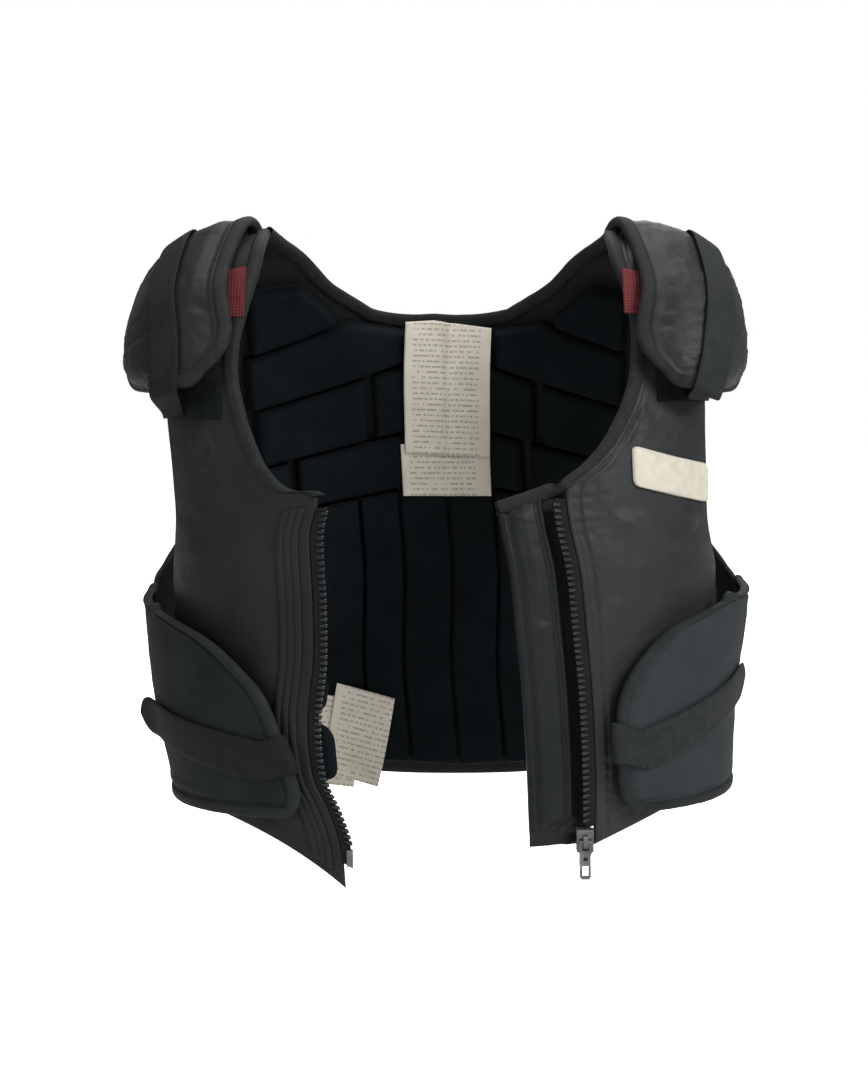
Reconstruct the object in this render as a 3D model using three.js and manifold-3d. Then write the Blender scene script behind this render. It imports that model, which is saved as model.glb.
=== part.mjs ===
import * as THREE from 'three';
import { mergeVertices } from 'three/addons/utils/BufferGeometryUtils.js';
import Module from 'manifold-3d';

// Riding body protector, shown worn and open: a padded back with two front panels, shoulder
// caps, side wings and a front zip. Millimetres, +Z up, wearer's front towards -Y. The origin
// is midway between the shoulders, at the height where the vest sits on them. Left and right
// in the names are as seen from the front.

// Driving sizes of the whole
const bodyHeight = 434;
const halfWidth = 212;
const frontDepth = 130;
const backDepth = 122;
const squareness = 2.4;

// Walls
const panelWall = 15;
const panelEdge = 5;
const coverWall = 4;
const coverEdge = 4;
const blockWall = 15;
const wingWall = 7;
const wingEdge = 4;
const flapWall = 2;
const wingRoom = 1.8;
const capWall = 8;
const capEdge = 4.5;
const webbing = 1.6;
const tapeWall = 1.2;
const labelWall = 1;

// Gaps and trims
const seam = 0.3;
const blockSeam = 2.6;
const bindingRadius = 2.9;

// Straps and patches
const shoulderStrapWidth = 22;
const wingStrapWidth = 27;
const wingStrapEnd = 24;
const labelWidth = 66;
const labelHeight = 94;
const lowerLabelHeight = 33;
const sideLabelWidth = 46;
const sideLabelHeight = 67;
const badgeWidth = 54;
const badgeHeight = 26;
const badgeWall = 2.4;

// Zip
const toothPitch = 4;
const toothWidth = 5;
const toothWall = 3;
const guardWidth = 44;
const guardWall = 7;
const guardTop = panelEdge;
const guardRim = 7;
const guardSlant = 0.43;
const guardFootSlant = 0.36;
const sliderWidth = 11;
const sliderHeight = 15;
const sliderWall = 7;
const pullLength = 25;
const pullWidth = 8.4;
const pullWall = 1.6;
const pullBar = 1.8;
const bridgeWidth = 3;
const bridgeWall = 1.5;
const bridgeSpan = 5;
const bridgeDepth = 3.2;
const slotClearance = 0.7;

// Shoulder line
const shoulderSlope = 0.28;
const shoulderDroop = 0.0024;
const shoulderSink = -1;
const neckHalf = 0.604 * halfWidth;

const colours = {
  cover: 0x26272a,
  sheen: 0x3b3c40,
  wing: 0x222628,
  block: 0x12161b,
  binding: 0x3a3b3a,
  webbing: 0x1d1f20,
  red: 0x8e1b22,
  label: 0xcdc7b6,
  badge: 0xdedacb,
  plastic: 0x0d0d0e,
  metal: 0x3c3c3e,
};

const materials = {
  cover: cloth(colours.cover, 0.55),
  sheen: cloth(colours.sheen, 0.45),
  wing: cloth(colours.wing, 0.7),
  block: cloth(colours.block, 0.75),
  binding: cloth(colours.binding, 0.6),
  webbing: cloth(colours.webbing, 0.85),
  red: cloth(colours.red, 0.8),
  label: cloth(colours.label, 0.8),
  badge: cloth(colours.badge, 0.5),
  plastic: cloth(colours.plastic, 0.35),
  metal: new THREE.MeshStandardMaterial({ color: colours.metal, roughness: 0.4, metalness: 0.8 }),
};

function cloth(color, roughness) {
  return new THREE.MeshStandardMaterial({ color, roughness, metalness: 0 });
}

// Cross-sections from the shoulder line down. drop is a share of bodyHeight; panel is the half
// width over the front panels, wing the half width over the back and wings, and shift how far
// the section hangs to the right, all shares of halfWidth; front and back are shares of
// frontDepth and backDepth.
const SECTIONS = [
  { drop: 0.000, panel: 0.93, wing: 0.94, shift: 0.000, front: 0.00, back: 0.00 },
  { drop: 0.025, panel: 0.93, wing: 0.94, shift: 0.000, front: 0.30, back: 0.30 },
  { drop: 0.060, panel: 0.93, wing: 0.94, shift: 0.000, front: 0.47, back: 0.47 },
  { drop: 0.120, panel: 0.93, wing: 0.94, shift: 0.000, front: 0.64, back: 0.64 },
  { drop: 0.210, panel: 0.93, wing: 0.94, shift: 0.000, front: 0.79, back: 0.79 },
  { drop: 0.320, panel: 0.92, wing: 0.95, shift: 0.010, front: 0.91, back: 0.90 },
  { drop: 0.460, panel: 0.90, wing: 0.98, shift: 0.024, front: 0.98, back: 0.98 },
  { drop: 0.576, panel: 0.90, wing: 1.00, shift: 0.040, front: 1.00, back: 1.00 },
  { drop: 0.737, panel: 0.90, wing: 0.97, shift: 0.036, front: 1.00, back: 0.98 },
  { drop: 0.887, panel: 0.88, wing: 0.935, shift: 0.060, front: 1.00, back: 0.95 },
  { drop: 1.000, panel: 0.87, wing: 0.92, shift: 0.066, front: 1.00, back: 0.93 },
];
const ridgeFade = 0.3;

// Front panels, from the hem up to the shoulder line. inner is the edge at the zip and neck, a
// share of halfWidth from the middle; turn is the outer edge's angle round the body in degrees;
// innerDrop and outerDrop are shares of bodyHeight; fall bends the row down towards its inner
// end.
const FRONT_LEFT = [
  { inner: 0.275, innerDrop: 0.993, turn: 96, outerDrop: 0.893, fall: 4.5 },
  { inner: 0.288, innerDrop: 0.925, turn: 96, outerDrop: 0.857, fall: 3.0 },
  { inner: 0.325, innerDrop: 0.872, turn: 96, outerDrop: 0.811, fall: 2.0 },
  { inner: 0.372, innerDrop: 0.820, turn: 96, outerDrop: 0.772, fall: 1.5 },
  { inner: 0.387, innerDrop: 0.737, turn: 96, outerDrop: 0.714, fall: 1.0 },
  { inner: 0.368, innerDrop: 0.647, turn: 96, outerDrop: 0.645, fall: 1.0 },
  { inner: 0.368, innerDrop: 0.560, turn: 90, outerDrop: 0.576, fall: 1.0 },
  { inner: 0.377, innerDrop: 0.460, turn: 76, outerDrop: 0.505, fall: 1.0 },
  { inner: 0.358, innerDrop: 0.399, turn: 71, outerDrop: 0.465, fall: 1.0 },
  { inner: 0.467, innerDrop: 0.392, turn: 69, outerDrop: 0.435, fall: 1.0 },
  { inner: 0.538, innerDrop: 0.362, turn: 68, outerDrop: 0.400, fall: 1.0 },
  { inner: 0.583, innerDrop: 0.318, turn: 67, outerDrop: 0.350, fall: 1.0 },
  { inner: 0.613, innerDrop: 0.276, turn: 67, outerDrop: 0.295, fall: 1.0 },
  { inner: 0.637, innerDrop: 0.226, turn: 67, outerDrop: 0.240, fall: 1.0 },
  { inner: 0.637, innerDrop: 0.175, turn: 67, outerDrop: 0.184, fall: 1.0 },
  { inner: 0.613, innerDrop: 0.124, turn: 66, outerDrop: 0.129, fall: 1.0 },
  { inner: 0.580, innerDrop: 0.065, turn: 65, outerDrop: 0.065, fall: 1.0 },
  { inner: 0.568, innerDrop: 0.022, turn: 64, outerDrop: 0.024, fall: 1.0 },
  { inner: 0.566, innerDrop: 0.0012, turn: 64, outerDrop: 0.0016, fall: 1.0 },
];
const FRONT_RIGHT = [
  { inner: 0.495, innerDrop: 0.929, turn: 96, outerDrop: 0.857, fall: 2.6 },
  { inner: 0.498, innerDrop: 0.887, turn: 96, outerDrop: 0.820, fall: 2.2 },
  { inner: 0.498, innerDrop: 0.827, turn: 96, outerDrop: 0.772, fall: 1.5 },
  { inner: 0.493, innerDrop: 0.763, turn: 96, outerDrop: 0.714, fall: 1.0 },
  { inner: 0.481, innerDrop: 0.677, turn: 96, outerDrop: 0.645, fall: 1.0 },
  { inner: 0.462, innerDrop: 0.592, turn: 90, outerDrop: 0.560, fall: 1.0 },
  { inner: 0.443, innerDrop: 0.509, turn: 78, outerDrop: 0.505, fall: 1.0 },
  { inner: 0.410, innerDrop: 0.438, turn: 72, outerDrop: 0.460, fall: 1.0 },
  { inner: 0.406, innerDrop: 0.385, turn: 70, outerDrop: 0.425, fall: 1.0 },
  { inner: 0.472, innerDrop: 0.357, turn: 69, outerDrop: 0.390, fall: 1.0 },
  { inner: 0.533, innerDrop: 0.327, turn: 68, outerDrop: 0.355, fall: 1.0 },
  { inner: 0.580, innerDrop: 0.290, turn: 67, outerDrop: 0.315, fall: 1.0 },
  { inner: 0.611, innerDrop: 0.258, turn: 67, outerDrop: 0.275, fall: 1.0 },
  { inner: 0.637, innerDrop: 0.214, turn: 67, outerDrop: 0.225, fall: 1.0 },
  { inner: 0.644, innerDrop: 0.141, turn: 67, outerDrop: 0.148, fall: 1.0 },
  { inner: 0.620, innerDrop: 0.083, turn: 66, outerDrop: 0.086, fall: 1.0 },
  { inner: 0.590, innerDrop: 0.045, turn: 65, outerDrop: 0.043, fall: 1.0 },
  { inner: 0.586, innerDrop: 0.0014, turn: 65, outerDrop: 0.0020, fall: 1.0 },
];

// Back cover, one half, from the hem up to the shoulder line. turn is the side edge's angle
// from the middle of the back; inner is the neck edge, or above the hem the line that leads
// down from it; middleDrop is the height at the middle. Above neckRow the neck is open.
const BACK = [
  { turn: 85, outerDrop: 0.893, inner: 0.46, innerDrop: 0.925, middleDrop: 0.943 },
  { turn: 85, outerDrop: 0.790, inner: 0.44, innerDrop: 0.800, middleDrop: 0.806 },
  { turn: 85, outerDrop: 0.680, inner: 0.42, innerDrop: 0.680, middleDrop: 0.680 },
  { turn: 85, outerDrop: 0.576, inner: 0.40, innerDrop: 0.570, middleDrop: 0.565 },
  { turn: 76, outerDrop: 0.540, inner: 0.37, innerDrop: 0.500, middleDrop: 0.480 },
  { turn: 66, outerDrop: 0.490, inner: 0.34, innerDrop: 0.430, middleDrop: 0.400 },
  { turn: 60, outerDrop: 0.410, inner: 0.24, innerDrop: 0.280, middleDrop: 0.265 },
  { turn: 59, outerDrop: 0.310, inner: 0.17, innerDrop: 0.165, middleDrop: 0.175 },
  { turn: 61, outerDrop: 0.210, inner: 0.25, innerDrop: 0.138, middleDrop: 0.153 },
  { turn: 62, outerDrop: 0.155, inner: 0.32, innerDrop: 0.117, middleDrop: 0.153 },
  { turn: 63, outerDrop: 0.110, inner: 0.40, innerDrop: 0.090, middleDrop: 0.153 },
  { turn: 64, outerDrop: 0.065, inner: 0.475, innerDrop: 0.048, middleDrop: 0.153 },
  { turn: 64, outerDrop: 0.0020, inner: 0.575, innerDrop: 0.0014, middleDrop: 0.153 },
];

const neckRow = 8;
// How far the back's neck opening hangs to the right
const neckAside = 4;

// Wings, from the bottom up round the front edge to the top of the side, with the columns of
// the front panels.
const WING_LEFT = [
  { inner: 0.455, innerDrop: 0.873, turn: 94, outerDrop: 0.891, fall: 1.0 },
  { inner: 0.440, innerDrop: 0.858, turn: 94, outerDrop: 0.862, fall: 1.0 },
  { inner: 0.442, innerDrop: 0.832, turn: 94, outerDrop: 0.834, fall: 1.0 },
  { inner: 0.490, innerDrop: 0.767, turn: 94, outerDrop: 0.780, fall: 1.0 },
  { inner: 0.545, innerDrop: 0.702, turn: 94, outerDrop: 0.720, fall: 1.0 },
  { inner: 0.622, innerDrop: 0.660, turn: 94, outerDrop: 0.680, fall: 1.0 },
  { inner: 0.722, innerDrop: 0.622, turn: 94, outerDrop: 0.640, fall: 1.0 },
  { inner: 0.832, innerDrop: 0.600, turn: 94, outerDrop: 0.608, fall: 1.0 },
  { inner: 0.920, innerDrop: 0.587, turn: 94, outerDrop: 0.580, fall: 1.0 },
];
const WING_RIGHT = [
  { inner: 0.632, innerDrop: 0.868, turn: 94, outerDrop: 0.872, fall: 1.0 },
  { inner: 0.604, innerDrop: 0.850, turn: 94, outerDrop: 0.848, fall: 1.0 },
  { inner: 0.592, innerDrop: 0.806, turn: 94, outerDrop: 0.806, fall: 1.0 },
  { inner: 0.586, innerDrop: 0.744, turn: 94, outerDrop: 0.760, fall: 1.0 },
  { inner: 0.596, innerDrop: 0.702, turn: 94, outerDrop: 0.722, fall: 1.0 },
  { inner: 0.630, innerDrop: 0.664, turn: 94, outerDrop: 0.686, fall: 1.0 },
  { inner: 0.686, innerDrop: 0.630, turn: 94, outerDrop: 0.650, fall: 1.0 },
  { inner: 0.760, innerDrop: 0.600, turn: 94, outerDrop: 0.616, fall: 1.0 },
  { inner: 0.868, innerDrop: 0.580, turn: 94, outerDrop: 0.590, fall: 1.0 },
  { inner: 0.960, innerDrop: 0.566, turn: 94, outerDrop: 0.566, fall: 1.0 },
];

// Shoulder caps, from the front lower edge over the shoulder to the back lower edge. The neck
// edge's and the arm edge's places are shares of halfWidth, frontDepth and bodyHeight.
const CAP = [
  { neckX: 0.755, neckY: -0.74, neckZ: -0.228, armX: 0.892, armY: -0.48, armZ: -0.246 },
  { neckX: 0.680, neckY: -0.72, neckZ: -0.192, armX: 0.960, armY: -0.32, armZ: -0.243 },
  { neckX: 0.652, neckY: -0.66, neckZ: -0.150, armX: 0.995, armY: -0.17, armZ: -0.228 },
  { neckX: 0.676, neckY: -0.50, neckZ: -0.074, armX: 1.006, armY: -0.05, armZ: -0.210 },
  { neckX: 0.632, neckY: -0.08, neckZ: 0.020, armX: 1.008, armY: 0.09, armZ: -0.200 },
  { neckX: 0.600, neckY: 0.22, neckZ: 0.012, armX: 1.002, armY: 0.23, armZ: -0.206 },
  { neckX: 0.604, neckY: 0.48, neckZ: -0.050, armX: 0.985, armY: 0.36, armZ: -0.222 },
  { neckX: 0.642, neckY: 0.68, neckZ: -0.124, armX: 0.940, armY: 0.49, armZ: -0.238 },
  { neckX: 0.720, neckY: 0.78, neckZ: -0.196, armX: 0.867, armY: 0.62, armZ: -0.240 },
];

const group = new THREE.Group();

// Value of a table's column between its rows, on a smooth curve
function along(table, place, column, at) {
  const last = table.length - 1;
  let row = 0;
  while (row < last - 1 && at > table[row + 1][place]) row += 1;
  const a = table[row];
  const b = table[row + 1];
  const before = table[Math.max(row - 1, 0)];
  const after = table[Math.min(row + 2, last)];
  const span = b[place] - a[place];
  const t = THREE.MathUtils.clamp((at - a[place]) / span, 0, 1);
  const slopeA = (b[column] - before[column]) / (b[place] - before[place]) * span;
  const slopeB = (after[column] - a[column]) / (after[place] - a[place]) * span;
  const t2 = t * t;
  const t3 = t2 * t;
  return a[column] * (2 * t3 - 3 * t2 + 1) + slopeA * (t3 - 2 * t2 + t)
    + b[column] * (3 * t2 - 2 * t3) + slopeB * (t3 - t2);
}

// The same for a table whose rows are evenly spaced, with at from 0 to 1
function evenly(table, column, at) {
  const last = table.length - 1;
  const place = THREE.MathUtils.clamp(at, 0, 1) * last;
  const row = Math.min(Math.floor(place), last - 1);
  const t = place - row;
  const a = table[row][column];
  const b = table[row + 1][column];
  const before = table[Math.max(row - 1, 0)][column];
  const after = table[Math.min(row + 2, last)][column];
  const t2 = t * t;
  const t3 = t2 * t;
  return a * (2 * t3 - 3 * t2 + 1) + (b - before) / 2 * (t3 - 2 * t2 + t)
    + b * (3 * t2 - 2 * t3) + (after - a) / 2 * (t3 - t2);
}

const raise = (value, power) => Math.sign(value) * Math.abs(value) ** power;

// The two layers of the vest: the front panels' face, and the face of the back and wings
const panelCoat = { half: 'panel', lift: 0 };
const outerCoat = { half: 'wing', lift: wingWall + flapWall + wingRoom };

// Point on a layer at an angle from the middle of the front, in degrees to the right, and a drop
function onBody(coat, turn, drop) {
  const angle = THREE.MathUtils.degToRad(turn);
  const half = along(SECTIONS, 'drop', coat.half, drop) * halfWidth;
  const shift = along(SECTIONS, 'drop', 'shift', drop) * halfWidth;
  const cos = Math.cos(angle);
  const front = along(SECTIONS, 'drop', 'front', drop) * frontDepth + coat.lift;
  const back = along(SECTIONS, 'drop', 'back', drop) * backDepth;
  const sideX = raise(Math.sin(angle), 2 / squareness) * half;
  const y = -raise(cos, 2 / squareness) * (cos > 0 ? front : back);
  return new THREE.Vector3(sideX + shift, y, ridgeAt(sideX, drop) - drop * bodyHeight);
}

function ridgeAt(x, drop) {
  const fade = Math.max(1 - drop / ridgeFade, 0) ** 2;
  const beyond = Math.abs(x) - neckHalf;
  return -(shoulderSink + shoulderSlope * beyond + shoulderDroop * Math.max(beyond, 0) ** 2) * fade;
}

// Angle at which a layer has a given distance from its middle line
function turnAt(coat, x, drop) {
  const half = along(SECTIONS, 'drop', coat.half, drop) * halfWidth;
  const share = THREE.MathUtils.clamp(Math.abs(x) / half, 0, 1);
  return THREE.MathUtils.radToDeg(Math.asin(share ** (squareness / 2))) * Math.sign(x);
}

// A closed solid from corner points and triangles, turned so that its faces point out
function solid(points, faces) {
  let volume = 0;
  for (const [a, b, c] of faces) {
    volume += points[a].dot(new THREE.Vector3().crossVectors(points[b], points[c]));
  }
  const geometry = new THREE.BufferGeometry();
  const flat = points.flatMap((point) => [point.x, point.y, point.z]);
  geometry.setAttribute('position', new THREE.Float32BufferAttribute(flat, 3));
  geometry.setIndex(faces.flatMap(([a, b, c]) => (volume > 0 ? [a, b, c] : [a, c, b])));
  geometry.computeVertexNormals();
  return geometry;
}

function place(name, material, geometry) {
  const mesh = new THREE.Mesh(geometry, material);
  mesh.name = name;
  group.add(mesh);
  return mesh;
}

// A padded sheet: its face follows the function face(u, v), its wall goes inwards from there.
// kept(column, row) leaves cells out.
function sheet(face, columns, rows, wall, kept = () => true) {
  const points = [];
  const walls = [];
  for (let row = 0; row <= rows; row += 1) {
    for (let column = 0; column <= columns; column += 1) {
      points.push(face(column / columns, row / rows));
      walls.push(wall(column / columns, row / rows));
    }
  }
  const cells = [];
  for (let row = 0; row < rows; row += 1) {
    for (let column = 0; column < columns; column += 1) {
      const first = row * (columns + 1) + column;
      if (kept(column, row)) cells.push([first, first + 1, first + columns + 2, first + columns + 1]);
    }
  }
  const normals = points.map(() => new THREE.Vector3());
  let outwards = 0;
  const middle = new THREE.Vector3(0, 0, -bodyHeight / 2);
  for (const [a, b, c, d] of cells) {
    const normal = points[c].clone().sub(points[a]).cross(points[d].clone().sub(points[b]));
    outwards += normal.dot(points[a].clone().sub(middle));
    for (const corner of [a, b, c, d]) normals[corner].add(normal.clone().normalize());
  }
  const side = Math.sign(outwards);
  const count = points.length;
  const used = new Set(cells.flat());
  for (let i = 0; i < count; i += 1) {
    const depth = used.has(i) ? walls[i] * side : 0;
    points.push(points[i].clone().addScaledVector(normals[i].normalize(), -depth));
  }
  const faces = [];
  const edges = new Set(cells.flatMap(
    ([a, b, c, d]) => [`${a} ${b}`, `${b} ${c}`, `${c} ${d}`, `${d} ${a}`]));
  for (const [a, b, c, d] of cells) {
    faces.push([a, b, c], [a, c, d], [a + count, c + count, b + count], [a + count, d + count, c + count]);
    for (const [from, to] of [[a, b], [b, c], [c, d], [d, a]]) {
      if (!edges.has(`${to} ${from}`)) faces.push([to, from, from + count], [to, from + count, to + count]);
    }
  }
  return solid(points, faces);
}

// A solid through loops of corners, closed at both ends or joined into a ring
function loft(loops, ring = false) {
  const sides = loops[0].length;
  const faces = [];
  const last = ring ? loops.length : loops.length - 1;
  for (let k = 0; k < last; k += 1) {
    const next = (k + 1) % loops.length;
    for (let i = 0; i < sides; i += 1) {
      const j = (i + 1) % sides;
      const a = k * sides + i;
      const b = k * sides + j;
      const c = next * sides + j;
      const d = next * sides + i;
      faces.push([a, b, c], [a, c, d]);
    }
  }
  for (let i = 1; i < sides - 1 && !ring; i += 1) {
    const end = (loops.length - 1) * sides;
    faces.push([0, i + 1, i], [end, end + i, end + i + 1]);
  }
  return solid(loops.flat(), faces);
}

const fineStep = 1e-3;

// The direction that a face looks in, away from the middle of the vest or as turned says
function normalAt(face, u, v, turned = 1) {
  const across = face(u + fineStep, v).sub(face(u - fineStep, v));
  const up = face(u, v + fineStep).sub(face(u, v - fineStep));
  return across.cross(up).normalize().multiplyScalar(turned);
}

// The same face, moved by a height along its own direction
function lifted(face, height, turned = 1) {
  return (u, v) => face(u, v).addScaledVector(normalAt(face, u, v, turned), height);
}

// Where a trim lies beside an edge: the edge's point, the way out of the cloth, and the way in
function beside(face, u, v, outU, outV, turned) {
  const point = face(u, v);
  const out = point.clone().sub(face(u - outU * fineStep, v - outV * fineStep)).normalize();
  return { point, out, normal: normalAt(face, u, v, turned) };
}

function off(station, out, deep) {
  return station.point.clone().addScaledVector(station.out, out).addScaledVector(station.normal, -deep);
}

// A round binding along the edges of a sheet whose wall there is edge thick
function binding(stations, edge, gap = seam, ring = false) {
  const sides = 5;
  const loops = stations.map((station) => {
    const centre = off(station, bindingRadius + gap, edge / 2);
    return Array.from({ length: sides }, (_, i) => {
      const angle = (i / sides) * Math.PI * 2;
      return centre.clone()
        .addScaledVector(station.out, Math.cos(angle) * bindingRadius)
        .addScaledVector(station.normal, Math.sin(angle) * bindingRadius);
    });
  });
  return loft(loops, ring);
}

const ease = (share) => THREE.MathUtils.smoothstep(share, 0, 1);

// Wall that swells from a thin edge to the full padding within a share of the way in
function padded(full, edge, rimU, rimV) {
  return (u, v) => edge + (full - edge)
    * ease(Math.min(u, 1 - u) / rimU) * ease(Math.min(v, 1 - v) / rimV);
}

// Face of a front panel or wing from its table: u from the zip side to the arm side, v upwards
function tableFace(table, coat, side) {
  return (u, v) => {
    const innerDrop = evenly(table, 'innerDrop', v);
    const outerDrop = evenly(table, 'outerDrop', v);
    const shift = along(SECTIONS, 'drop', 'shift', innerDrop) * halfWidth;
    const innerX = side * evenly(table, 'inner', v) * halfWidth - shift;
    const from = turnAt(coat, innerX, innerDrop);
    const to = side * evenly(table, 'turn', v);
    const drop = outerDrop + (innerDrop - outerDrop) * Math.max(1 - u, 0) ** evenly(table, 'fall', v);
    return onBody(coat, from + (to - from) * u, drop);
  };
}

// Where the right neck binding runs on over the slanted top of the zip guard
function overGuard(start) {
  const up = start.out.clone().multiplyScalar(guardSlant).add(new THREE.Vector3(0, 0, 1)).normalize();
  return [guardWidth - 2, guardWidth / 2, guardRim].map((out) => {
    const point = off(start, out, guardTop + (guardWall - panelEdge) / 2);
    point.z -= guardSlant * out;
    return { point, out: up, normal: start.normal };
  });
}

const panelColumns = 8;
const sides = [
  { name: 'left', side: -1, front: FRONT_LEFT, wing: WING_LEFT, corner: 8 },
  { name: 'right', side: 1, front: FRONT_RIGHT, wing: WING_RIGHT, corner: 8 },
];

for (const { name, side, front, wing, corner } of sides) {
  const face = tableFace(front, panelCoat, side);
  const rows = front.length - 1;
  place(`front_panel_${name}`, side < 0 ? materials.cover : materials.sheen,
    sheet(face, panelColumns, rows, padded(panelWall, panelEdge, 0.12, 0.06)));

  const neck = [];
  for (let row = corner; row <= rows; row += 1) neck.push(beside(face, 0, row / rows, -1, 0, side));
  const guarded = side > 0 ? overGuard(neck[0]) : [];
  if (side > 0) neck[0].out.add(guarded[0].out).normalize();
  place(`neck_binding_front_${name}`, materials.binding, binding([...guarded, ...neck], panelEdge));

  const wingFace = tableFace(wing, outerCoat, side);
  const wingRows = wing.length - 1;
  const wingColumns = 7;
  place(`wing_${name}`, materials.wing,
    sheet(wingFace, wingColumns, wingRows, padded(wingWall, wingEdge, 0.1, 0.14)));
}

// Back cover: a strip at each side that runs up to the shoulder, and a middle part, in two
// halves that meet at the middle
const stripColumns = 6;
const middleColumns = 4;
const rowSteps = 2;
const backColumns = 2 * (stripColumns + middleColumns);
const backRows = (BACK.length - 1) * rowSteps;
const openRow = neckRow * rowSteps;

function backPoint(column, row) {
  const fromSide = Math.min(column, backColumns - column);
  const side = column > backColumns / 2 ? 1 : -1;
  const at = row / backRows;
  const outerTurn = evenly(BACK, 'turn', at);
  const outerDrop = evenly(BACK, 'outerDrop', at);
  const inner = evenly(BACK, 'inner', at);
  const innerDrop = evenly(BACK, 'innerDrop', at);
  const innerTurn = turnAt(outerCoat, inner * halfWidth + side * neckAside, innerDrop);
  if (fromSide <= stripColumns) {
    const share = fromSide / stripColumns;
    const turn = THREE.MathUtils.lerp(outerTurn, innerTurn, share);
    return onBody(outerCoat, 180 - side * turn, THREE.MathUtils.lerp(outerDrop, innerDrop, share));
  }
  const share = (fromSide - stripColumns) / middleColumns;
  const drop = THREE.MathUtils.lerp(innerDrop, evenly(BACK, 'middleDrop', at), 1 - (1 - share) ** 2);
  return onBody(outerCoat, 180 - side * innerTurn * (1 - share), drop);
}

const backFace = (u, v) => backPoint(u * backColumns, v * backRows);
const halfColumns = backColumns / 2;
const halfEnd = halfColumns - 0.013;
for (const { name, side } of sides) {
  const face = (u, v) => backPoint(side < 0 ? u * halfEnd : backColumns - u * halfEnd, v * backRows);
  place(`back_cover_${name}`, materials.cover, sheet(face, halfColumns, backRows, () => coverWall,
    (column, row) => row < openRow || column < stripColumns));
}

// Places along the straight steps of a front panel's zip edge, from one row of its table to
// another, with stations no more than step apart between rows
function zipEdge(face, side, rows, fromRow, toRow, step) {
  const stations = [];
  for (let row = Math.floor(fromRow); row < toRow; row += 1) {
    const a = beside(face, 0, row / rows, -1, 0, side);
    const b = beside(face, 0, (row + 1) / rows, -1, 0, side);
    const from = Math.max(fromRow - row, 0);
    const to = Math.min(toRow - row, 1);
    const count = Math.max(Math.round(a.point.distanceTo(b.point) * (to - from) / step), 1);
    for (let i = stations.length ? 1 : 0; i <= count; i += 1) {
      const at = THREE.MathUtils.lerp(from, to, i / count);
      stations.push({
        point: a.point.clone().lerp(b.point, at),
        out: a.out.clone().lerp(b.out, at),
        normal: a.normal.clone().lerp(b.normal, at),
      });
    }
  }
  return stations;
}

// A flat rail beside an edge: near and far are distances out from the edge, top and base
// depths below the face
function rail(stations, near, far, top, base) {
  return loft(stations.map((station, i) => [
    off(station, near, top),
    off(station, far(i), top),
    off(station, far(i), base),
    off(station, near, base),
  ]));
}

const tapeShow = 3.4;
const zipDeep = 0.8;
const tapeTop = zipDeep - tapeWall / 2;
const teethNear = seam + tapeShow + seam;
const teethTop = zipDeep - toothWall / 2;
const zipTop = 7.6;
const zipFoot = { left: 1, right: 0.88 };
const faces = { left: tableFace(FRONT_LEFT, panelCoat, -1), right: tableFace(FRONT_RIGHT, panelCoat, 1) };
const panelRows = { left: FRONT_LEFT.length - 1, right: FRONT_RIGHT.length - 1 };

for (const { name, side } of sides) {
  const ends = [faces[name], side, panelRows[name], zipFoot[name], zipTop];
  const tape = zipEdge(...ends, bodyHeight);
  place(`zip_tape_${name}`, materials.webbing,
    rail(tape, seam, () => seam + tapeShow, tapeTop, tapeTop + tapeWall));
  place(`zip_teeth_${name}`, materials.plastic, loft(zipEdge(...ends, toothPitch / 2).map((station, i) => [
    off(station, teethNear, teethTop),
    off(station, teethNear + toothWidth * (i % 2 ? 1 : 0.5), zipDeep),
    off(station, teethNear, teethTop + toothWall),
  ])));
}

// Padded guard behind the right zip, from the hem up to the neck's corner
const guardStep = 20;
const guardRow = 7;
const guardStations = [
  ...zipEdge(faces.right, 1, panelRows.right, 0, guardRow, guardStep),
  beside(faces.right, 0, (guardRow + 1) / panelRows.right, -1, 0, 1),
];
const guardLast = guardStations.length - 1;
place('zip_guard', materials.cover, loft(guardStations.map((station, i) => {
  const far = seam + guardWidth;
  const loop = [
    off(station, 2 * seam, guardTop),
    off(station, guardRim, guardTop),
    off(station, far - guardRim, guardTop),
    off(station, far, guardTop + guardWall * 0.3),
    off(station, far, guardTop + guardWall * 0.7),
    off(station, far - guardRim, guardTop + guardWall),
    off(station, guardRim, guardTop + guardWall),
    off(station, 2 * seam, guardTop + guardWall * 0.7),
  ];
  const slant = i === 0 ? -guardFootSlant : (i === guardLast ? guardSlant : 0);
  return loop.map((corner) => corner.setZ(corner.z - slant * corner.distanceTo(station.point)));
})));

// Inner padding that bulges out past the left zip edge, between rows of the panel's table
const PADS = [
  { from: 2.80, to: 3.95, out: 15 },
  { from: 4.10, to: 4.72, out: 9 },
];
const padIn = 3;
const padDeep = 9;
const padStep = 6;
PADS.forEach(({ from, to, out: padOut }, i) => {
  const stations = zipEdge(faces.left, -1, panelRows.left, from, to, padStep);
  const top = panelEdge + seam;
  place(`front_pad_left_${i + 1}`, materials.block, loft(stations.map((station, k) => {
    const swell = 0.55 + 0.45 * Math.sin(Math.PI * (k + 0.5) / stations.length);
    return [
      off(station, -padIn, top + padDeep * 0.2),
      off(station, padOut * 0.5 * swell, top),
      off(station, padOut * swell, top + padDeep * 0.35),
      off(station, padOut * swell, top + padDeep * 0.7),
      off(station, padOut * 0.5 * swell, top + padDeep),
      off(station, -padIn, top + padDeep * 0.8),
    ];
  })));
});

// Zip ends: the pin on the left, and the box, slider and pull on the right
function block(width, height, depth) {
  return new THREE.BoxGeometry(width, depth, height);
}

const pinHeight = 11;
const pinWidth = 4;
const leftFoot = beside(faces.left, 0, zipFoot.left / panelRows.left, -1, 0, -1);
const pin = place('zip_pin', materials.metal, block(pinWidth, pinHeight, toothWall));
pin.position.copy(off(leftFoot, teethNear + toothWidth / 2, zipDeep));
pin.position.z -= pinHeight / 2 + 3 * seam;

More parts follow.
